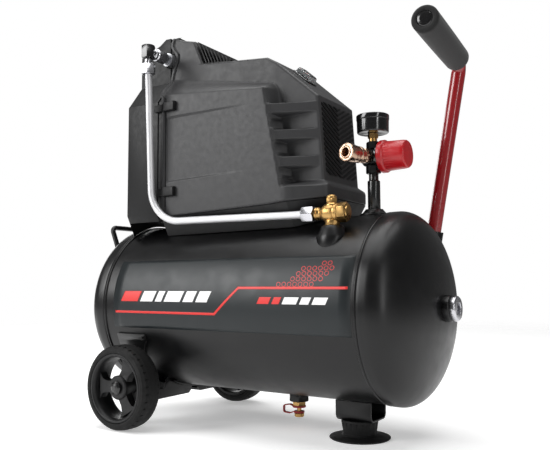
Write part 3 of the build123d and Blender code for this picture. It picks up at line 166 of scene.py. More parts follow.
# Moulded red ABS: even colour with a soft highlight and a little depth.
RED_ABS = grain(
    material("red_abs", "#ae1019", Roughness=0.36, IOR=1.52, Subsurface_Weight=0.05),
    0.8 * MM, 0.015 * MM, roughness=(0.28, 0.4))
# Soft moulded PVC: darker red and a broad, dull highlight.
RED_PVC = grain(material("dark_red_soft_pvc", "#8c0d12", Roughness=0.45), 1.0 * MM, 0.02 * MM)
# Moulded polypropylene of the rims: waxy, with a broader highlight than the ABS.
WHEEL_PP = grain(
    material("wheel_polypropylene", "#0c0c0d", Roughness=0.42, Specular_IOR_Level=0.35),
    0.9 * MM, 0.04 * MM, roughness=(0.38, 0.5), tint=("#0d0d0e", "#121213"))
# Moulded rubber: matt black with dull patches.
RUBBER = grain(
    material("moulded_rubber", "#0a0a0b", Roughness=0.62, Specular_IOR_Level=0.3),
    1.1 * MM, 0.05 * MM, roughness=(0.55, 0.7), tint=("#090909", "#0f0f10"))
# Moulded tyre rubber: the dullest black of all, with a coarse skin.
TYRE_RUBBER = grain(
    material("tyre_rubber", "#080809", Roughness=0.7, Specular_IOR_Level=0.3),
    0.9 * MM, 0.07 * MM, roughness=(0.62, 0.78), tint=("#070707", "#0d0d0d"))
# Closed-cell foam: round cells about 0.8 mm wide, matt with a slight sheen.
FOAM = grain(
    material("closed_cell_foam", "#131313", Roughness=0.92, Sheen_Weight=0.12, Sheen_Roughness=0.5),
    1.0 * MM, 0.16 * MM, kind="cells", tint=("#0b0b0b", "#1a1a1a"))
# Drawn aluminium tube: fine lengthwise draw marks.
PIPE_ALUMINIUM = grain(
    material("drawn_aluminium", "#dcdcde", Metallic=0.75, Roughness=0.48),
    1.5 * MM, 0.006 * MM, roughness=(0.44, 0.54))
# Bright nickel and chrome plating: clear reflections, a little uneven.
CHROME = grain(
    material("bright_plating", "#c4c4c8", Metallic=1.0, Roughness=0.2),
    3.0 * MM, 0.004 * MM, roughness=(0.16, 0.26))
# Zinc-plated steel: pale grey with cloudy reflections.
ZINC = grain(
    material("zinc_plated_steel", "#c9c9c6", Metallic=1.0, Roughness=0.3),
    1.5 * MM, 0.01 * MM, roughness=(0.24, 0.4), tint=("#bdbdb8", "#d2d2cf"))
# Hot-pressed brass, sand-like skin and warmer patches.
CAST_BRASS = grain(
    material("pressed_brass", "#b8925a", Metallic=1.0, Roughness=0.3),
    1.1 * MM, 0.05 * MM, roughness=(0.24, 0.42), tint=("#a98349", "#c6a26c"))
# Nickel-washed brass of the coupler, pinkish and smooth.
COUPLER_BRASS = grain(
    material("nickel_washed_brass", "#b89a84", Metallic=1.0, Roughness=0.24),
    1.4 * MM, 0.01 * MM, roughness=(0.18, 0.32), tint=("#a98a72", "#c4a995"))
# Cast aluminium: a pebbled grey skin that scatters its reflections.
CAST_ALUMINIUM = grain(
    material("cast_aluminium", "#a3a4a6", Metallic=1.0, Roughness=0.45),
    1.2 * MM, 0.06 * MM, roughness=(0.38, 0.55), tint=("#96979a", "#adaeb0"))
# Machined iron: dark grey metal with dull reflections.
IRON = grain(
    material("machined_iron", "#4b4c50", Metallic=1.0, Roughness=0.4),
    1.4 * MM, 0.02 * MM, roughness=(0.32, 0.5))
# Painted steel sheet: black with a satin highlight.
DARK_STEEL = grain(
    material("painted_steel_sheet", "#0a0a0b", Roughness=0.4, Specular_IOR_Level=0.35),
    1.6 * MM, 0.02 * MM, roughness=(0.35, 0.48))
# Moulded polycarbonate: clear and nearly smooth, so that the dial shows through it.
CLEAR = grain(
    material("clear_polycarbonate", "#f4f7f8", Roughness=0.05, IOR=1.585, Transmission_Weight=1.0),
    6.0 * MM, 0.004 * MM)
# Printed card of the dial, and the inks on it and on the label: flat colour, nearly matt.
DIAL_WHITE = grain(material("printed_dial", "#efefec", Roughness=0.5), 1.0 * MM, 0.003 * MM)
INK_BLACK = grain(material("black_ink", "#141414", Roughness=0.5), 1.0 * MM, 0.002 * MM)
INK_RED = grain(material("red_ink", "#d5241f", Roughness=0.4), 1.0 * MM, 0.002 * MM)
INK_WHITE = grain(material("white_ink", "#f1f1f0", Roughness=0.4), 1.0 * MM, 0.002 * MM)
# Printed vinyl film, a little greener and greyer than the paint under it.
LABEL_FILM = grain(
    material("label_vinyl", "#1a1f21", Roughness=0.4, Specular_IOR_Level=0.36),
    2.4 * MM, 0.008 * MM, roughness=(0.36, 0.44))

SLOT_MATERIALS = {
    "tank_paint": TANK_COAT, "red_paint": RED_COAT, "dark_steel": BLACK_STEEL, "bright_steel": CHROME,
    "zinc_steel": ZINC, "pipe_aluminium": PIPE_ALUMINIUM, "brass_parts": CAST_BRASS,
    "nickel_brass": COUPLER_BRASS, "cast_aluminium": CAST_ALUMINIUM, "iron_core": IRON,
    "cover_plastic": COVER_ABS, "shell_plastic": SHADED_COVER_ABS, "grille_plastic": GRILLE_PP,
    "black_plastic": GLOSS_BLACK, "red_plastic": RED_ABS, "dark_red_plastic": RED_PVC,
    "wheel_plastic": WHEEL_PP, "rubber_black": RUBBER, "tyre_black": TYRE_RUBBER, "foam_black": FOAM,
    "dial_white": DIAL_WHITE, "clear_lens": CLEAR,
}
node_slot = {row["node"]: row["material_slot"] for row in frame["record"]["subparts"]}
node_body = {node: body for body, members in frame["record"]["behaviour"]["bodies"].items()
             for node in members}
# Nodes whose finish differs from that of their slot.
# The tray and the clips take the darkened ABS, whose colour is painted shade.
SPECIAL = {"motor_platform": DARK_STEEL, "base_tray": SHADED_COVER_ABS, "shell_clips": SHADED_COVER_ABS,
           "pipe_elbow": GLOSS_BLACK}
for name, cad in nodes.items():
    cad.data.materials.clear()
    cad.data.materials.append(SPECIAL.get(name, SLOT_MATERIALS[node_slot[name]]))


# ---------------------------------------------------------------- surfaces
def place(x, y, z):
    """Points in metres from millimetres along the tank, across it and over the floor."""
    x, y, z = np.broadcast_arrays(x, y, z)
    return np.stack([TANK.x + x * MM, TANK.y + y * MM, FLOOR_Z + z * MM], axis=-1)


def smooth(low, high, value):
    """0 up to low, 1 from high, and 3t^2 - 2t^3 between."""
    t = np.clip((value - low) / (high - low), 0, 1)
    return t * t * (3 - 2 * t)


DOUBLED = 0.0005         # millimetres within which two points of a grid are one


def surface(name, points, around=False, keep=None):
    """A smooth mesh over a grid of points, rows by columns, with its doubled points merged.

    around joins the last column to the first, and keep picks the faces that stay.
    """
    rows, columns = points.shape[:2]
    number = np.arange(rows * columns).reshape(rows, columns)
    left = number if around else number[:, :-1]
    right = np.roll(number, -1, axis=1) if around else number[:, 1:]
    quads = np.stack([left[:-1], right[:-1], right[1:], left[1:]], axis=-1).reshape(-1, 4)
    if keep is not None:
        quads = quads[keep]
    mesh = bpy.data.meshes.new(name)
    mesh.from_pydata(points.reshape(-1, 3).tolist(), [], quads.tolist())
    work = bmesh.new()
    work.from_mesh(mesh)
    bmesh.ops.remove_doubles(work, verts=work.verts, dist=DOUBLED * MM)
    work.to_mesh(mesh)
    work.free()
    mesh.polygons.foreach_set("use_smooth", np.ones(len(mesh.polygons), bool))
    return mesh


def piece(name, mesh, finish, body="compressor", replaces=()):
    """An object for a mesh, with its finish, riding on a body."""
    made = bpy.data.objects.new(name, mesh)
    mesh.materials.clear()
    mesh.materials.append(finish)
    bpy.context.scene.collection.objects.link(made)
    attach(made, body)
    if replaces:
        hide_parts(*replaces)
    return made


def turned(name, outline, centre, axis, sides=128):
    """A surface of revolution: each outline point (distance along the axis, radius) becomes a circle."""
    outline = np.array(outline, float) * MM
    axis = np.array(axis, float) / np.linalg.norm(axis)
    helper = np.array([0, 0, 1.0]) if abs(axis[2]) < 0.9 else np.array([1.0, 0, 0])
    first = np.cross(helper, axis)
    first /= np.linalg.norm(first)
    second = np.cross(axis, first)
    angle = np.linspace(0, 2 * np.pi, sides, endpoint=False)
    ring = np.cos(angle)[:, None] * first + np.sin(angle)[:, None] * second
    points = np.array(centre) + outline[:, :1, None] * axis + outline[:, 1:, None] * ring
    return surface(name, points, around=True)


def tube(name, path, radius, sides=32):
    """A circle carried along a path and closed at both ends: a fixed helper keeps its plane from twisting."""
    path = np.array(path, float)
    tangent = np.gradient(path, axis=0)
    tangent /= np.linalg.norm(tangent, axis=1)[:, None]
    helper = np.cross(path[-1] - path[0], path[len(path) // 2] - path[0])
    helper /= np.linalg.norm(helper)
    second = np.cross(tangent, helper)
    second /= np.linalg.norm(second, axis=1)[:, None]
    first = np.cross(second, tangent)
    angle = np.linspace(0, 2 * np.pi, sides, endpoint=False)
    points = path[:, None] + radius * (np.cos(angle)[None, :, None] * first[:, None]
                                       + np.sin(angle)[None, :, None] * second[:, None])
    points = np.concatenate([np.broadcast_to(path[:1, None], points[:1].shape), points,
                             np.broadcast_to(path[-1:, None], points[:1].shape)])
    return surface(name, points, around=True)


WELD = 0.004             # millimetres within which the corners of a CAD node's loose triangles are one
SHARP = 28               # degrees; a CAD edge that turns more than this gets rounded


def softened(node, width):
    """A copy of a CAD piece, merged, its edges rounded by a bevel of the given width in millimetres."""
    source = nodes[node]
    mesh = source.data.copy()
    work = bmesh.new()
    work.from_mesh(mesh)
    bmesh.ops.remove_doubles(work, verts=work.verts, dist=WELD * MM)
    bmesh.ops.dissolve_limit(work, angle_limit=math.radians(1.0), verts=work.verts, edges=work.edges)
    for face in work.faces:
        face.smooth = True
    for edge in work.edges:
        edge.smooth = True
    work.to_mesh(mesh)
    work.free()
    made = piece(node + "_finished", mesh, source.data.materials[0], node_body[node],
                 (node,))
    bevel = made.modifiers.new("rounded_edges", "BEVEL")
    bevel.width = width * MM
    bevel.segments = 2
    bevel.limit_method = "ANGLE"
    bevel.angle_limit = math.radians(SHARP)
    bevel.harden_normals = True
    return made


# ---------------------------------------------------------------- tank
SEAM = (TANK_HIGH.x - TANK.x) / MM - 8.35      # where each end's lip starts
DOME_REACH = (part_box("tank_end_right")[1].x - TANK.x) / MM - 0.3
LIP = 12.3
SHEET = 2.6                                    # thickness of the pressed ends
R = TANK_R / MM
AXIS = TANK.z / MM


def dome_profile():
    """Lip, weld bead and half ellipse, closed inside: (distance from the tank's middle, radius)."""
    lip_r = R + 2.0
    angle = np.linspace(0, math.pi / 2, 44)
    dome = np.stack([SEAM + LIP + (DOME_REACH - SEAM - LIP) * np.sin(angle), lip_r * np.cos(angle)], axis=1)
    bead = np.linspace(math.pi, 0, 9)
    weld = np.stack([SEAM - 0.2 + 2.0 * np.cos(bead), R + 0.1 + 1.75 * np.sin(bead)], axis=1)
    lip = [(SEAM + 1.5, lip_r - 0.55), (SEAM + 3.0, lip_r - 0.1), (SEAM + LIP * 0.5, lip_r)]
    inside = dome[::-1] - [SHEET, 0]
    inside[:, 1] = np.maximum(dome[::-1, 1] - SHEET, 0)
    return np.concatenate([weld, lip, dome, inside, [(SEAM - 2.2, R - 2.4), (SEAM - 2.2, R + 0.1)]])


def tank():
    """Rolled shell with both pressed ends, each on its weld bead."""
    length = SEAM + 6
    shell = [(-length, R - 2.4), (-length, R), *[(x, R) for x in np.linspace(-length + 1, length - 1, 60)],
             (length, R), (length, R - 2.4), (-length, R - 2.4)]
    piece("tank_barrel", turned("tank_barrel", shell, TANK, (1, 0, 0), 192), TANK_COAT,
          replaces=("tank_shell",))
    for side, axis in (("left", (-1, 0, 0)), ("right", (1, 0, 0))):
        mesh = turned("dome_" + side, dome_profile(), TANK, axis, 192)
        piece("dome_" + side, mesh, TANK_COAT, replaces=("tank_end_" + side,))


LABEL_LEFT, LABEL_RIGHT = -191.0, 203.0        # along the tank
LABEL_LOW, LABEL_HIGH = -0.25, 0.565          # angles over the horizontal, at the front
FILM = 0.12                                    # each printed layer stands this far over the last


def on_tank(along, angle, lift):
    """Points on the tank's front, from a length along it and an angle over the horizontal."""
    along, angle = np.broadcast_arrays(along, angle)
    radius = R + lift
    return place(along, -radius * np.cos(angle), AXIS + radius * np.sin(angle))


def sticker(name, along, angle, lift, finish):
    """A thin film on the tank over grids of lengths and angles, its edges turned down to the paint."""
    points = on_tank(along, angle, lift)
    under = on_tank(along, angle, 0.01)
    wide = np.concatenate([under[:, :1], points, under[:, -1:]], axis=1)
    deep = np.concatenate([under[:1, :1], under[:1], under[:1, -1:]], axis=1)
    shut = np.concatenate([under[-1:, :1], under[-1:], under[-1:, -1:]], axis=1)
    mesh = surface(name, np.concatenate([deep, wide, shut]))
    return piece(name, mesh, finish)


def patch(name, left, right, low, high, lift, finish, slant=0.0):
    """A four-sided patch of film; slant shifts its upper edge along the tank."""
    t = np.linspace(0, 1, 24)[:, None]
    s = np.linspace(0, 1, 24)[None, :]
    along = left + (right - left) * s + slant * t
    return sticker(name, along, low + (high - low) * t + 0 * s, lift, finish)


def stripe(name, stops, width, lift, finish):
    """A stripe through stops (length, angle): its two edges stay a set width apart."""
    stops = np.array(stops, float)
    flat = stops * [1, R]
    step = np.diff(flat, axis=0)
    normal = np.stack([-step[:, 1], step[:, 0]], axis=1) / np.linalg.norm(step, axis=1)[:, None]
    joint = np.concatenate([normal[:1], (normal[:-1] + normal[1:]), normal[-1:]])
    joint[1:-1] /= np.sum(joint[1:-1] * normal[:-1], axis=1)[:, None]
    share = np.linspace(0, 1, 40)
    spread = np.linspace(-0.5, 0.5, 5)[:, None, None]
    rails = flat[None] + spread * width * joint[None]
    runs = [rails[:, i, None] + (rails[:, i + 1, None] - rails[:, i, None]) * share[None, :, None]
            for i in range(len(stops) - 1)]
    rails = np.concatenate(runs, axis=1)
    return sticker(name, rails[..., 0], rails[..., 1] / R, lift, finish)


def label():
    """Vinyl label with a stepped red stripe, plain slanted blocks, and a field of small rings."""
    patch("label_film", LABEL_LEFT, LABEL_RIGHT, LABEL_LOW, LABEL_HIGH, FILM, LABEL_FILM)
    low, high = -0.062, 0.219
    stripe("label_stripe", [(-186, low), (1, low), (39, high), (199, high)], 3.2, 2 * FILM, INK_RED)
    # plain blocks of uneven length, cut on a slant
    left = -175
    for index, width in enumerate((34, 24, 12, 30, 18, 20)):
        ink = INK_WHITE if index else INK_RED
        patch(f"label_block_{index}", left, left + width, 0.062, 0.182, 2 * FILM, ink, slant=7)
        left += width + 5
    left = 70
    for index, width in enumerate((18, 11, 21, 13, 19)):
        ink = INK_WHITE if index > 1 else INK_RED
        patch(f"label_dash_{index}", left, left + width, 0.055, 0.125, 2 * FILM, ink, slant=4)
        left += width + 4.5
    ring_field()


RING_STEP, RING_RISE = 8.0, 6.9                # from ring to ring along the tank, and from row to row


def ring_field():
    """Small square-set rings over the stripe, in rows that get shorter upwards."""
    sides = 12
    angle = np.linspace(0, 2 * np.pi, sides, endpoint=False)
    points, quads = [], []
    for row, (start, count) in enumerate(((101, 7), (117, 6), (128, 6), (130, 6), (162, 2))):
        for column in range(count):
            centre = np.array([start + column * RING_STEP + (row % 2) * RING_STEP / 2,
                               0.256 * R + row * RING_RISE])
            rings = [centre + radius * np.stack([np.cos(angle), np.sin(angle)], axis=1)
                     for radius in (2.5, 3.15)]
            base = len(points) * 2 * sides
            points.append(np.concatenate(rings))
            inner = base + np.arange(sides)
            outer = inner + sides
            quads.append(np.stack([inner, outer, np.roll(outer, -1), np.roll(inner, -1)], axis=1))
    flat = np.concatenate(points)
    mesh = bpy.data.meshes.new("label_rings")
    mesh.from_pydata(on_tank(flat[:, 0], flat[:, 1] / R, 2 * FILM).tolist(), [],
                     np.concatenate(quads).tolist())
    piece("label_rings", mesh, INK_RED)


# ---------------------------------------------------------------- shroud
BROAD = 84.0
WALL_X = ([-160, 56, 122, 141], [56.0, 56.0, 52.3, 50.5])
BARS = ((438.5, 453.2), (400.6, 415.5), (363.2, 378.0))
SLOT_LEVELS = ((418.0, 437.0), (380.0, 399.5), (347.5, 361.5))
# Right-hand outline: height over the floor, then the length along the tank that the shroud reaches there.
OUTLINE_Z = [306, 334, 337.5, 344, 461, 519, 528.5, 535.2, 541.5, 580.5, 586.4, 595.4]
OUTLINE_X = [141, 141, 139.0, 130.5, 122.5, 57, 41, -17, -77, -94.7, -117, -139]
# Left-hand edge: straight over the broad panel, and curved round the pipe fitting on the neck.
EDGE_Z = [306, 480, 488, 497, 508, 526, 536, 546, 556, 562, 568, 574, 580, 586, 592, 595.4]
EDGE_X = [-135, -135, -136, -140, -143.5, -144, -141.5, -138, -134, -133, -135, -140, -143.5, -143.5, -140,
          -139]
RIM = 2.4                                      # wall thickness that the turned-in rims show
RIM_REACH, FOOT_REACH = 14, 16                 # how far the rims at the left edge and at the foot go inwards
SWITCH_HOLE = [16.0, 9.2, 10.4]                # half sizes of the space kept clear round the switch's middle


def skirt_low(x):
    """Height of the skirt's lower edge, rising to the right."""
    return np.interp(x, [-127, 60, 141], [306, 313, 319.5])


def panel_right(z):
    """Length along the tank at which the broad panel ends: a straight line that leans left as it rises."""
    return 56 + (463 - z) * 22 / 113


def fall_back(distance, radius):
    """How far a rounded edge falls back near its end: r - sqrt(r^2 - (r - d)^2), and 0 past its radius."""
    share = np.clip(distance / radius, 0, 1)
    return radius * (1 - np.sqrt(1 - (1 - share) ** 2))


def shroud_half_width(x, z, edge):
    """Half width of the shroud, in millimetres: neck, broad panel, bars, slots, skirt and creases in turn."""
    wall = np.interp(x, *WALL_X)
    panel_top = np.interp(x, [-134, 45], [494, 475])
    neck_line = np.interp(x, [-136, 43, 70], [526.5, 491, 484])
    side_edge = panel_right(z)
    up = np.clip((z - panel_top) / (neck_line - panel_top), 0, None)
    out = np.clip((x - side_edge) / 8.0, 0, None)
    fall = np.clip(np.hypot(up, out), 0, 1)
    fall = 0.45 * fall + 0.55 * smooth(0, 1, fall)
    half = BROAD + (wall - BROAD) * fall
    for low, high in BARS:
        line = 80.8 + (52.0 - 80.8) * (x - side_edge) / (123.5 - side_edge)
        level = smooth(low - 0.7, low + 0.7, z) * (1 - smooth(high - 0.9, high + 0.9, z))
        level = level * smooth(side_edge - 3, side_edge - 1, x)
        half = np.maximum(half, wall + (line - wall) * level)
    for low, high in SLOT_LEVELS:
        slot = smooth(low - 0.8, low + 0.8, z) * (1 - smooth(high - 0.8, high + 0.8, z))
        slot = slot * smooth(side_edge + 1.5, side_edge + 3.5, x)
        slot = slot * (1 - smooth(side_edge + 16, side_edge + 18, x))
        half = half - (half - 34) * slot
    skirt = np.interp(x, [80, 88, 96, 134, 138.5, 141], [84, 83.4, 80.6, 61.2, 57.5, 51.5])
    below = 1 - smooth(334, 345, z)
    half = np.maximum(half, wall + (skirt - wall) * below)
    upper_crease = np.interp(x, [-131, 15], [458, 456])
    lower_crease = np.interp(x, [-130, 48], [359.5, 363])
    sunk = 2.3 * (1 - smooth(-110, 42, x))
    inside = smooth(lower_crease - 0.9, lower_crease + 0.9, z)
    inside = inside * (1 - smooth(upper_crease - 0.9, upper_crease + 0.9, z))
    half = half - sunk * inside * smooth(9, 11, x - edge)
    groove = smooth(5.4, 6.4, x - edge) * (1 - smooth(8.6, 9.8, x - edge))
    half = half - 2.8 * groove
    return half


def distance_to_outline(x, z):
    """Shortest distance from each point to the straight runs of the right-hand outline."""
    ends = np.stack([OUTLINE_X, OUTLINE_Z], axis=1).astype(float)
    ends[0] = (141, 300)
    near = np.full(x.shape, 1e9)
    for a, b in zip(ends[:-1], ends[1:]):
        along = np.clip(((x - a[0]) * (b - a)[0] + (z - a[1]) * (b - a)[1]) / np.sum((b - a) ** 2), 0, 1)
        near = np.minimum(near, np.hypot(x - a[0] - along * (b - a)[0], z - a[1] - along * (b - a)[1]))
    return near


ROW_STEP = 1.25                                # the widest step between rows


def shroud_rows():
    """Heights of the rows: even steps, with every corner of the outline and of the features on a row."""
    stops = [306, 308, 334, 337.5, 344, 347.5, 361.5, 380, 399.5, 418, 437, 453.2, 461, 475, 519, 528.5,
             535.2, 541.5, 580.5, 586.4, 592, 595.4]
    runs = [np.linspace(a, b, max(2, int((b - a) / ROW_STEP) + 1), endpoint=False)
            for a, b in zip(stops, stops[1:])]
    return np.concatenate(runs + [[595.4]])


def shroud():
    """Front, roof and back of the shroud as one grid: rows run from the lower edge to the roof's ridge."""
    z = shroud_rows()[:, None]
    edge = np.interp(z, EDGE_Z, EDGE_X)
    reach = np.interp(z, OUTLINE_Z, OUTLINE_X)
    side_edge = np.minimum(panel_right(z), edge + 0.72 * (reach - edge))
    lip = np.minimum(12, 0.15 * (reach - edge))
    share = np.concatenate([np.linspace(0, 1, 15)[:-1], np.linspace(1, 2, 46)[:-1],
                            np.linspace(2, 3, 34)[:-1],
                            3 + (1 - (1 - np.linspace(0, 1, 40)) ** 1.35)])[None, :]
    before = side_edge - np.minimum(26, 0.3 * (side_edge - edge))
    last = side_edge + (side_edge - before) * 0.12
    x = np.select([share <= 1, share <= 2, share <= 3],
                  [edge + lip * share, edge + lip + (before - edge - lip) * (share - 1),
                   before + (last - before) * (share - 2)], 0)
    x = np.where(share > 3, last + (reach - last) * (share - 3), x)
    lift = (skirt_low(x) - 306) * (1 - smooth(306, 334, z))
    z = z + lift
    half = shroud_half_width(x, z, edge)
    half = half - fall_back(distance_to_outline(x, z), 4.0)
    half = half - fall_back(x - edge, 1.6)
    half = half - fall_back(z - skirt_low(x), 2.0)
    across = np.array([[-0.84, -0.67, -0.5, -0.34, -0.17, 0.024, 0.18, 0.34, 0.5, 0.67, 0.84]])
    roof_x = np.broadcast_to(x[:, -1:], (len(z), across.shape[1]))
    roof_z = np.broadcast_to(z[:, -1:], roof_x.shape)
    xs = np.concatenate([x, roof_x, x[:, ::-1]], axis=1)
    ys = np.concatenate([-half, half[:, -1:] * across, half[:, ::-1]], axis=1)
    zs = np.concatenate([z, roof_z, z[:, ::-1]], axis=1)
    # the rims are turned in at the left edge and at the bottom
    keep = np.sign(ys) * np.maximum(np.abs(ys) - RIM, 0)
    left = np.stack([xs[:, :1] + RIM_REACH, keep[:, :1], zs[:, :1]], axis=-1)
    left_rim = np.stack([xs[:, :1], keep[:, :1], zs[:, :1]], axis=-1)
    right = np.stack([xs[:, -1:] + RIM_REACH, keep[:, -1:], zs[:, -1:]], axis=-1)
    right_rim = np.stack([xs[:, -1:], keep[:, -1:], zs[:, -1:]], axis=-1)
    grid = np.concatenate([left, left_rim, np.stack([xs, ys, zs], axis=-1), right_rim, right], axis=1)
    bottom = grid[:1].copy()
    bottom[..., 1] -= np.sign(bottom[..., 1]) * np.minimum(RIM, np.abs(bottom[..., 1]))
    bottom[..., 0] = np.minimum(bottom[..., 0], 141 - RIM)
    above = bottom + [0, 0, FOOT_REACH]
    grid = np.concatenate([above, bottom, grid])
    # the switch stands in a square hole, which its bezel covers
    points = place(grid[..., 0], grid[..., 1], grid[..., 2])
    middle = (points[:-1, :-1] + points[1:, 1:]).reshape(-1, 3) / 2
    switch = np.array(box_middle("switch_rocker"))
    away = np.abs(middle - switch) - np.array(SWITCH_HOLE) * MM
    mesh = surface("shroud_cover", points, keep=np.any(away > 0, axis=1))
    piece("shroud_cover", mesh, COVER_ABS, replaces=("shroud",))


# ---------------------------------------------------------------- tubes and the grip
def bent(corners, radius, steps=18):
    """A path of straight runs joined by arcs of one radius, as points in millimetres."""
    corners = np.array(corners, float)
    result = [corners[:1]]
    for before, corner, after in zip(corners[:-2], corners[1:-1], corners[2:]):
        back = (before - corner) / np.linalg.norm(before - corner)
        on = (after - corner) / np.linalg.norm(after - corner)
        half = math.acos(float(back @ on)) / 2
        reach = radius / math.tan(half)
        centre = corner + (back + on) / np.linalg.norm(back + on) * radius / math.sin(half)
        sweep = np.linspace(-1, 1, steps)[:, None] * (math.pi / 2 - half)
        inward = (corner - centre) / np.linalg.norm(corner - centre)
        along = (on - back) / np.linalg.norm(on - back)
        last = result[-1][-1:]
        result.append(last + (corner + back * reach - last) * np.linspace(0.02, 0.98, 24)[:, None])
        result.append(centre + radius * (np.cos(sweep) * inward + np.sin(sweep) * along))
    last = result[-1][-1:]
    result.append(last + (corners[-1:] - last) * np.linspace(0.02, 1, 30)[:, None])
    return np.concatenate(result)


PIPE_R = 5.2
PIPE_CORNERS = [(-143, -105, 526), (-143, -94, 298.5), (129.5, -76, 295.5)]
HANDLE_CORNERS = [(222, 100, 264), (270, 100, 519.5), (286.2, -79, 519.5)]
HANDLE_R, GRIP_R, GRIP_LENGTH = 10.0, 17.3, 165.0


def delivery_pipe():
    path = bent(PIPE_CORNERS, 50)
    path = place(path[:, 0], path[:, 1], path[:, 2])
    mesh = tube("delivery_tube", path, PIPE_R * MM, 40)
    piece("delivery_tube", mesh, PIPE_ALUMINIUM, replaces=("delivery_pipe",))


def handle():
    """Red bent tube with a foam grip whose ends are rounded and whose skin swells a little in the middle."""
    path = bent(HANDLE_CORNERS, 18)
    path = place(path[:, 0], path[:, 1], path[:, 2])
    piece("handle_bar", tube("handle_bar", path, HANDLE_R * MM, 48), RED_COAT,
          replaces=("handle_tube",))
    corner, tip = np.array(HANDLE_CORNERS[1]), np.array(HANDLE_CORNERS[2])
    reach = (tip - corner) / np.linalg.norm(tip - corner)
    start = tip - reach * (GRIP_LENGTH - 4)
    along = np.linspace(2.5, GRIP_LENGTH - 2.8, 40)
    skin = np.stack([along, GRIP_R - 0.25 + 0.25 * np.sin(np.pi * along / GRIP_LENGTH)], axis=1)
    near_end = [(0, HANDLE_R + 0.05), (0, GRIP_R - 3.6), (0.4, GRIP_R - 2.0), (1.2, GRIP_R - 0.9)]
    far_end = [(GRIP_LENGTH - 1.0, GRIP_R - 1.1), (GRIP_LENGTH - 0.2, GRIP_R - 2.6),
               (GRIP_LENGTH, GRIP_R - 4.0), (GRIP_LENGTH, HANDLE_R + 0.05), (0, HANDLE_R + 0.05)]
    outline = np.concatenate([near_end, skin, far_end])
    centre = place(*start)
    piece("foam_grip", turned("foam_grip", outline, centre, reach, 96), FOAM,
          replaces=("handle_grip",))


# ---------------------------------------------------------------- gauge face
DIAL_START, DIAL_SWEEP = 225, 270              # degrees: where the scale's zero is, and how far it runs
DIAL_BAR, DIAL_STEPS = 10, 50                  # pressure at the scale's end, and its number of steps


def gauge_marks():
    """Ticks round three quarters of the dial and its figures, in bar."""
    low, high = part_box("gauge_dial")
    centre = (low + high) / 2
    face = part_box("gauge_needle")[0].z - 0.9 * MM
    corners, faces = [], []
    for index in range(DIAL_STEPS + 1):
        turn = math.radians(DIAL_START - DIAL_SWEEP * index / DIAL_STEPS)
        long_tick = index % 5 == 0
        inner, outer = (13.2 if long_tick else 15.0) * MM, 17.0 * MM
        half = (0.35 if long_tick else 0.18) * MM
        out = Vector((math.cos(turn), math.sin(turn), 0))
        aside = Vector((-out.y, out.x, 0))
        base = len(corners)
        for radius, shift in ((inner, -half), (outer, -half), (outer, half), (inner, half)):
            point = out * radius + aside * shift
            corners.append((centre.x + point.x, centre.y + point.y, face))
        faces.append(tuple(range(base, base + 4)))
    mesh = bpy.data.meshes.new("gauge_ticks")
    mesh.from_pydata(corners, [], faces)
    piece("gauge_ticks", mesh, INK_BLACK)
    for index in range(0, DIAL_BAR + 1, 2):
        turn = math.radians(DIAL_START - DIAL_SWEEP * index / DIAL_BAR)
        words = bpy.data.curves.new(f"gauge_figure_{index}", "FONT")
        words.body = str(index)
        words.size = 4.2 * MM
        words.align_x = "CENTER"
        words.align_y = "CENTER"
        shown = bpy.data.objects.new(words.name, words)
        bpy.context.scene.collection.objects.link(shown)
        mesh = bpy.data.meshes.new_from_object(shown.evaluated_get(bpy.context.evaluated_depsgraph_get()))
        bpy.data.objects.remove(shown)
        mesh.transform(Matrix.Translation((centre.x + 10.2 * MM * math.cos(turn),
                                           centre.y + 10.2 * MM * math.sin(turn), face)))
        piece(words.name, mesh, INK_BLACK)


# ---------------------------------------------------------------- studio and camera
LIT_MIDDLE = Vector((0, 0, 0.28))              # what the soft boxes face


def area_light(name, spot, width, height, power):
    """A soft box that faces the machine's middle; its sizes are in metres and its power in watts."""
    lamp = bpy.data.lights.new(name, "AREA")
    lamp.shape = "RECTANGLE"
    lamp.size = width
    lamp.size_y = height
    lamp.energy = power
    holder = bpy.data.objects.new(name, lamp)
    holder.location = spot
    holder.rotation_euler = (LIT_MIDDLE - holder.location).to_track_quat("-Z", "Y").to_euler()
    bpy.context.scene.collection.objects.link(holder)


SURROUND = 0.17          # strength of the surround's own light
FLOOR_R = 3.0            # metres; the floor fades into the surround before this


def floor_finish():
    """Matt white floor with a little light of its own, clear towards its rim so that no edge shows."""
    made = material("pale_floor", "#f2f2f2", Roughness=0.9)
    bsdf = made.node_tree.nodes["Principled BSDF"]
    bsdf.inputs["Emission Color"].default_value = linear("#ffffff")
    bsdf.inputs["Emission Strength"].default_value = 0.35
    spot = add(made, "ShaderNodeTexCoord")
    reach = add(made, "ShaderNodeVectorMath", {0: spot.outputs["Object"]}, operation="LENGTH")
    shown = add(made, "ShaderNodeMapRange",
                {"Value": reach.outputs["Value"], "From Min": 0.9, "From Max": 0.96 * FLOOR_R,
                 "To Min": 1.0, "To Max": 0.0}, interpolation_type="SMOOTHSTEP")
    made.node_tree.links.new(shown.outputs[0], bsdf.inputs["Alpha"])
    return made


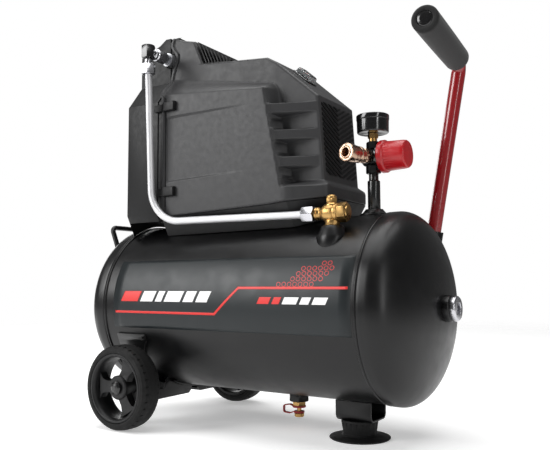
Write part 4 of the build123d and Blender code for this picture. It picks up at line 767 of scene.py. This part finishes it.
def studio():
    """Plain pale floor, white surround and four soft boxes."""
    scene = bpy.context.scene
    scene.view_settings.view_transform = "Standard"
    scene.view_settings.look = "None"
    world = bpy.data.worlds.new("white_surround")
    world.use_nodes = True
    nodes_of_world = world.node_tree.nodes
    shown = nodes_of_world["Background"]
    shown.inputs["Color"].default_value = linear("#ffffff")
    shown.inputs["Strength"].default_value = 1.0
    # the surround looks white, but its own light on the machine is dim, so that blacks stay deep
    dim = add(world, "ShaderNodeBackground", {"Color": linear("#ffffff"), "Strength": SURROUND})
    seen = add(world, "ShaderNodeLightPath").outputs["Is Camera Ray"]
    chosen = add(world, "ShaderNodeMixShader", {0: seen, 1: dim.outputs[0], 2: shown.outputs[0]})
    world.node_tree.links.new(chosen.outputs[0], nodes_of_world["World Output"].inputs[0])
    scene.world = world
    angle = np.linspace(0, 2 * np.pi, 96, endpoint=False)
    radius = np.array([0.0, 0.6, 1.2, 2.0, FLOOR_R])[:, None]
    disc = np.stack([radius * np.cos(angle), radius * np.sin(angle), np.full((5, 96), FLOOR_Z)], axis=-1)
    floor = bpy.data.objects.new("studio_floor", surface("studio_floor", disc, around=True))
    floor.data.materials.append(floor_finish())
    scene.collection.objects.link(floor)
    area_light("soft_box_left", (-1.5, -1.8, 1.3), 1.2, 1.4, 44)
    area_light("soft_box_right", (1.9, -1.0, 0.8), 0.16, 1.5, 7)
    area_light("soft_box_back", (-2.1, 1.5, 0.8), 1.0, 1.2, 14)
    area_light("soft_box_top", (0.0, 0.0, 2.4), 2.6, 2.2, 60)


EYE = Vector((TANK.x + 557.34 * MM, -814.0 * MM, FLOOR_Z + 207.65 * MM))
YAW, PITCH, ROLL = math.radians(33.588), math.radians(4.962), math.radians(-0.308)
LENS = 43.12             # millimetres, on a 36 mm wide sensor


def camera():
    """The camera stands at EYE and looks along its yaw and pitch."""
    data = bpy.data.cameras.new("camera")
    data.sensor_fit = "HORIZONTAL"
    data.sensor_width = 36.0
    data.lens = LENS
    data.clip_start = 0.02
    data.clip_end = 50.0
    forward = Vector((-math.sin(YAW) * math.cos(PITCH), math.cos(YAW) * math.cos(PITCH), math.sin(PITCH)))
    right = Vector((math.cos(YAW), math.sin(YAW), 0))
    up = right.cross(forward)
    right, up = (right * math.cos(ROLL) + up * math.sin(ROLL), up * math.cos(ROLL) - right * math.sin(ROLL))
    seen = bpy.data.objects.new("camera", data)
    seen.matrix_world = Matrix((right, up, -forward)).transposed().to_4x4()
    seen.location = EYE
    bpy.context.scene.collection.objects.link(seen)
    bpy.context.scene.camera = seen


# ---------------------------------------------------------------- assembly
tank()
label()
shroud()
delivery_pipe()
handle()
gauge_marks()
# Moulded and machined CAD pieces whose shape is right get rounded edges; widths are millimetres.
EDGE_WIDTHS = {
    "left_shell": 1.6, "shell_clips": 0.8, "pipe_nuts": 0.6, "pipe_elbow": 0.7,
    "elbow_fittings": 0.4, "check_valve_body": 0.7, "check_valve_cap": 0.6, "regulator_body": 0.6,
    "regulator_knob": 0.5, "coupler_body": 0.4, "coupler_sleeve": 0.4, "wheel_rim_front": 0.8,
    "wheel_rim_rear": 0.8, "foot_bracket": 1.2, "rubber_foot": 0.6, "wheel_bracket": 0.8,
    "end_plug": 0.5, "weld_bosses": 0.6, "gauge_case": 0.4, "drain_body": 0.3, "handle_socket": 0.5,
    "riser_pipe": 0.4, "switch_bezel": 0.4, "switch_rocker": 0.5, "safety_valve": 0.3, "cable_gland": 0.4,
}
for node, width in EDGE_WIDTHS.items():
    softened(node, width)
studio()
camera()
